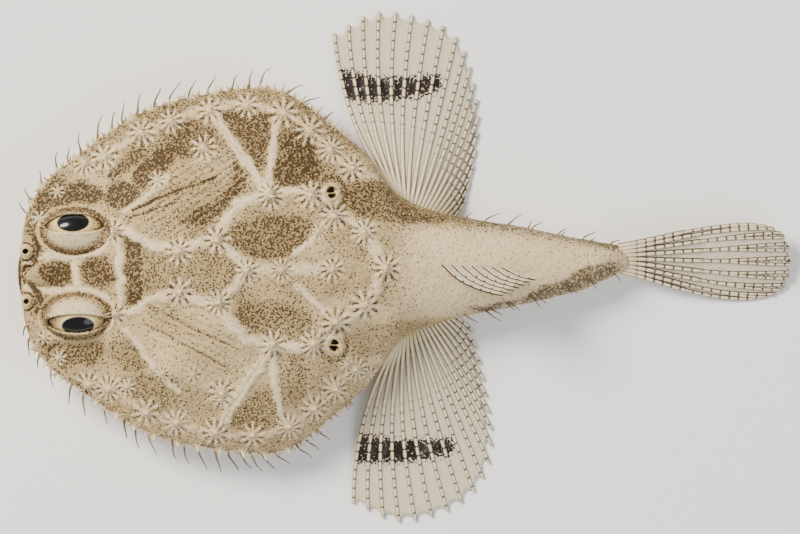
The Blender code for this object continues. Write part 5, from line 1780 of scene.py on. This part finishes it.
    def pelvic(self, side: Side) -> list[Ray]:
        """Rays of one pelvic fin, a short hand under the disc that stands on the floor."""
        x, y = self.pelvic_base[0], self.pelvic_base[1] * side.value
        rays = []
        for _, share in shares_of(self.pelvic_count):
            angle = math.radians(self.pelvic_fan[0] + (self.pelvic_fan[1] - self.pelvic_fan[0]) * share)
            out = Vector((math.cos(angle), math.sin(angle) * side.value, 0))
            across = Vector((-0.55, 0.25 * side.value, 0)) * (share - 0.5) * 3.2
            root = Vector((x, y, self.surface.belly(x, y)[0].z + 0.7)) + across
            length = self.pelvic_length * (0.82 + 0.18 * math.sin(math.pi * share))
            bend, tip = root + out * length * 0.3, root + out * length
            bend.z, tip.z = 0.55, self.tip_z
            rays.append(partial(bezier, root, bend, tip))
        return rays


@dataclass(frozen=True)
class DarkBar:
    """The dark bar across a pectoral fin, between two x and about one distance from the midline."""

    start: float
    end: float
    middle: float
    half: float
    bend: float

    def tone(self, x: float, y: float) -> float:
        """How dark the web is at a place."""
        share = min(max((x - self.start) / (self.end - self.start), 0), 1)
        centre = self.middle + self.bend * (2 * share - 1) ** 2
        half = self.half * (1 - 0.45 * share)
        across = float(smoothstep(half + 1.1, half - 0.9, abs(abs(y) - centre)))
        begun = smoothstep(self.start - 0.5, self.start + 0.5, x)
        return 0.82 * across * float(begun * smoothstep(self.end + 0.6, self.end - 0.6, x))


@dataclass
class Eye:
    """One eyeball, with an upright-set oval pupil under a wet cornea."""

    face: Face
    side: Side
    pupil_tilt: float
    pupil_ahead: float
    pupil_half: Point2 = (2.05, 1.34)
    bulge: float = 0.16
    rings: int = 90
    around: int = 128

    def make(self, material: Material) -> Object:
        """Builds the eyeball.

        Args:
            material: The eye's finish.

        Returns:
            The piece, in metres.
        """
        sign = self.side.value
        tilt = math.radians(self.pupil_tilt) * sign
        gaze = np.array([0.0, math.sin(tilt), math.cos(tilt)])
        ahead, up = np.array([1.0, 0.0, 0.0]), np.array([0.0, math.cos(tilt), -math.sin(tilt)])
        radii = np.array(self.face.eye_radii)
        points = []
        for r, k in product(range(self.rings + 1), range(self.around)):
            angle, turn = math.pi * (r / self.rings) ** 1.25, TAU * k / self.around
            way = (ahead * math.cos(turn) + up * math.sin(turn)) * math.sin(angle)
            points.append((gaze * math.cos(angle) + way) * radii)
        points = np.array(points)
        along, across = points[:, 0], points @ up
        span = np.hypot((along - self.pupil_ahead) / self.pupil_half[0], across / self.pupil_half[1])
        front = points @ gaze > 0
        swell = self.bulge * np.where(front, smoothstep(1.5, 0.0, span), 0)
        pupil = np.where(front, smoothstep(1.04, 0.98, span), 0)
        turn = np.arctan2(across, along) * 9
        normals = points / radii**2
        normals /= np.linalg.norm(normals, axis=1)[:, None]
        points = points + normals * swell[:, None] + np.array(self.face.eye(sign))
        mesh = new_mesh("eye", points, ring_faces(self.rings + 1, self.around), MM)
        readings = {"pupil": pupil, "span": np.where(front, span, 9.0), "turn": turn}
        made = dressed(f"eyeball_{self.side.name.lower()}", mesh, material, readings)
        close_up(mesh, 1e-7).shade_smooth()
        return made


@dataclass
class Lure:
    """The soft bait with three lobes that lies in its hollow under the rostrum."""

    face: Face
    radius: float = 0.33
    lobes: tuple[Point3, ...] = ((-0.45, 0, 0.05), (0.1, 0.42, 0.0), (0.1, -0.42, 0.0))

    def make(self, material: Material) -> Object:
        """Builds a stalk with three lobes."""
        mould = Mould()
        middle = Vector(self.face.lure_at)
        back = middle + Vector((0.75, 0, -0.1))
        mould.tube([back, middle.lerp(back, 0.4), middle], [0.16, 0.2, 0.24], 12, tones=0.15)
        for aim in map(Vector, self.lobes):
            shares = [t for _, t in shares_of(13)]
            path = [middle + aim * (t * 1.3 - 0.3) for t in shares]
            radii = [0.42 * 0.78 * math.sqrt(max(1 - (2 * t - 1) ** 2, 0)) for t in shares]
            wide = Vector((0, 1, 0)) if aim.x < 0 else Vector((1, 0, 0))
            mould.tube(path, radii, 16, 0.8, wide, [0.05 + 0.3 * k / 12 for k in range(13)])
        return mould.make("lure_bait", material)


@dataclass
class Studio:
    """A plain pale floor, soft light and a long-lens camera straight above the fish."""

    floor_half: float = 2.5
    floor_thickness: float = 0.02
    light: float = 0.58
    camera_height: float = 1.2
    view_width: float = 103.1 * MM
    centre: Point2 = (-0.64 * MM, 0.10 * MM)
    subject_height: float = 6.0 * MM
    roll: float = -1.0
    sensor: float = 36.0

    def floor(self, material: Material) -> None:
        """Builds the floor, with a thickness so that it isn't a bare sheet."""
        half = self.floor_half
        plan = [(x * half, y * half) for x, y in ((-1, -1), (1, -1), (1, 1), (-1, 1))]
        points = [(x, y, z) for z in (0.0, -self.floor_thickness) for x, y in plan]
        faces = [(0, 1, 2, 3), (7, 6, 5, 4)] + [(i, i + 4, (i + 1) % 4 + 4, (i + 1) % 4) for i in range(4)]
        mesh = new_mesh("floor", points, faces)
        mesh.materials.append(material)
        floor = linked("floor", mesh)

    def lamp(self, name: str, place: Sequence[float], size: float, power: float, colour: str) -> None:
        """Adds one soft lamp that faces the fish."""
        light = bpy.data.lights.new(name, "AREA")
        light.shape, light.size, light.energy = "DISK", size, power
        light.color = linear(colour)[:3]
        lamp = linked(name, light)
        lamp.location = place
        lamp.rotation_euler = (-Vector(place)).to_track_quat("-Z", "Y").to_euler()

    def make(self) -> None:
        """Builds the floor, the lamps, the surrounding light and the camera."""
        self.floor(PaintedBoard().make())
        self.lamp("key", (-0.42, 0.34, 0.5), 0.3, 10.0, "#FFF6EA")
        self.lamp("fill", (0.5, -0.35, 0.55), 0.6, 3.2, "#F2F5FF")
        world = bpy.data.worlds.new("studio")
        world.use_nodes = True
        background = world.node_tree.nodes["Background"]
        background.inputs["Color"].default_value = linear("#F4F5F6")
        background.inputs["Strength"].default_value = self.light
        bpy.context.scene.world = world
        data = bpy.data.cameras.new("camera")
        data.sensor_width = self.sensor
        data.lens = self.sensor * self.camera_height / self.view_width
        data.clip_start, data.clip_end = 0.01, 50.0
        camera = linked("camera", data)
        camera.location = (*self.centre, self.subject_height + self.camera_height)
        camera.rotation_euler = (0, 0, math.radians(self.roll))
        bpy.context.scene.camera = camera


def main() -> None:
    """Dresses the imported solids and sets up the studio."""
    logging.basicConfig(level=logging.INFO, format="%(name)s %(message)s")
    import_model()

    Studio().make()

    shape, face, marks = BodyShape(), Face(), Markings()
    skin = Skin(shape, face, marks).make(DampSkin().make())
    attach(skin, "skin", "head", "disc", "tail")
    surface, unwrap = Surface(skin, 1 / MM), Unwrap(shape)

    # Ivory spines, browner where their arms end, which catch the light over the dull skin.
    look = {"mottle": 0.1, "grain": 0.4, "roughness": 0.5}
    bone = TonedTissue("ivory_spine_enamel", "#F0DDB0", "#7C5A30", **look).make()
    for piece in Tubercles(shape, marks, surface, unwrap).make(bone):
        attach(piece, "skin")
    # Sand-brown hairs that darken to their tips, so that the rim looks frayed.
    look = {"mottle": 0.06, "grain": 0.4, "roughness": 0.5}
    thread = TonedTissue("soft_skin_thread", "#B2955F", "#2E2116", **look).make()
    attach(Fringe(shape, surface, unwrap).make(thread), "skin")

    # Horn-pale rays with dark joints and painted shade along their sides, and thin web between them that lets
    # light through, with painted shade beside the rays.
    look = {"mottle": 0.05, "grain": 0.5, "roughness": 0.45}
    rod = TonedTissue("skinned_fin_ray", "#E9D9B2", "#33241A", **look).make()
    look = {"mottle": 0.05, "grain": 1.2, "roughness": 0.4, "open_share": 0.35, "stipple": 0.26}
    web = TonedTissue("clear_fin_web", "#E6DAC0", "#1D1510", **look).make()
    plan = FinPlan(surface)
    bars = {Side.RIGHT: DarkBar(-8.2, 5.2, 23.1, 2.0, 0.9), Side.LEFT: DarkBar(-7.0, 6.0, 23.7, 1.9, -0.6)}
    free = [0.0] * 10 + [0.3, 0.6, 0.9, 1.2, 1.4, 1.4, 1.3, 1.1, 0.9]
    fins = []
    for side in Side:
        pectoral, pelvic = (f"{kind}_fin_{side.name.lower()}" for kind in ("pectoral", "pelvic"))
        wing = {"free": free, "bar": bars[side].tone, "jointed_from": 0.3}
        hand = {"radius": (0.46, 0.26), "scallop": 1.0, "free": (0.6,), "joint_ink": 0.4}
        fins += [
            Fin(pectoral.replace("_fin", ""), pectoral, plan.pectoral(side), **wing),
            Fin(pelvic.replace("_fin", ""), pelvic, plan.pelvic(side), **hand),
        ]
    tail = {"radius": (0.34, 0.3), "first_joint": 2.4, "scallop": 0.3, "edge_tone": 1.0}
    back = {"radius": (0.24, 0.18), "joint": 1.3, "first_joint": 3.0, "scallop": 0.5, "edge_tone": 1.2}
    vent = {"radius": (0.26, 0.16), "joint": 1.0, "first_joint": 1.6, "scallop": 0.4}
    fins += [
        Fin("caudal", "caudal_fin", plan.caudal(), split=0.5, web_tone=0.22, **tail),
        Fin("dorsal", "dorsal_fin", plan.dorsal(), web_tone=0.25, **back),
        Fin("anal", "anal_fin", plan.anal(), joint_ink=0.4, **vent),
    ]
    for fin in fins:
        fin.make(rod, web)

    wet = WetEye().make()
    for eye in (Eye(face, Side.RIGHT, 29.0, -0.2), Eye(face, Side.LEFT, 33.0, 0.2)):
        attach(eye.make(wet), "eye", f"eye_{eye.side.name.lower()}")
    # Pale fleshy bait, the wettest thing on the fish but for its eyes.
    look = {"mottle": 0.12, "grain": 0.3, "roughness": 0.3, "coat": Wetness.WET}
    flesh = TonedTissue("soft_lure_flesh", "#E9D2B4", "#9A6F4C", **look).make()
    attach(Lure(face).make(flesh), "lure", "lure")


if __name__ == "__main__":
    main()
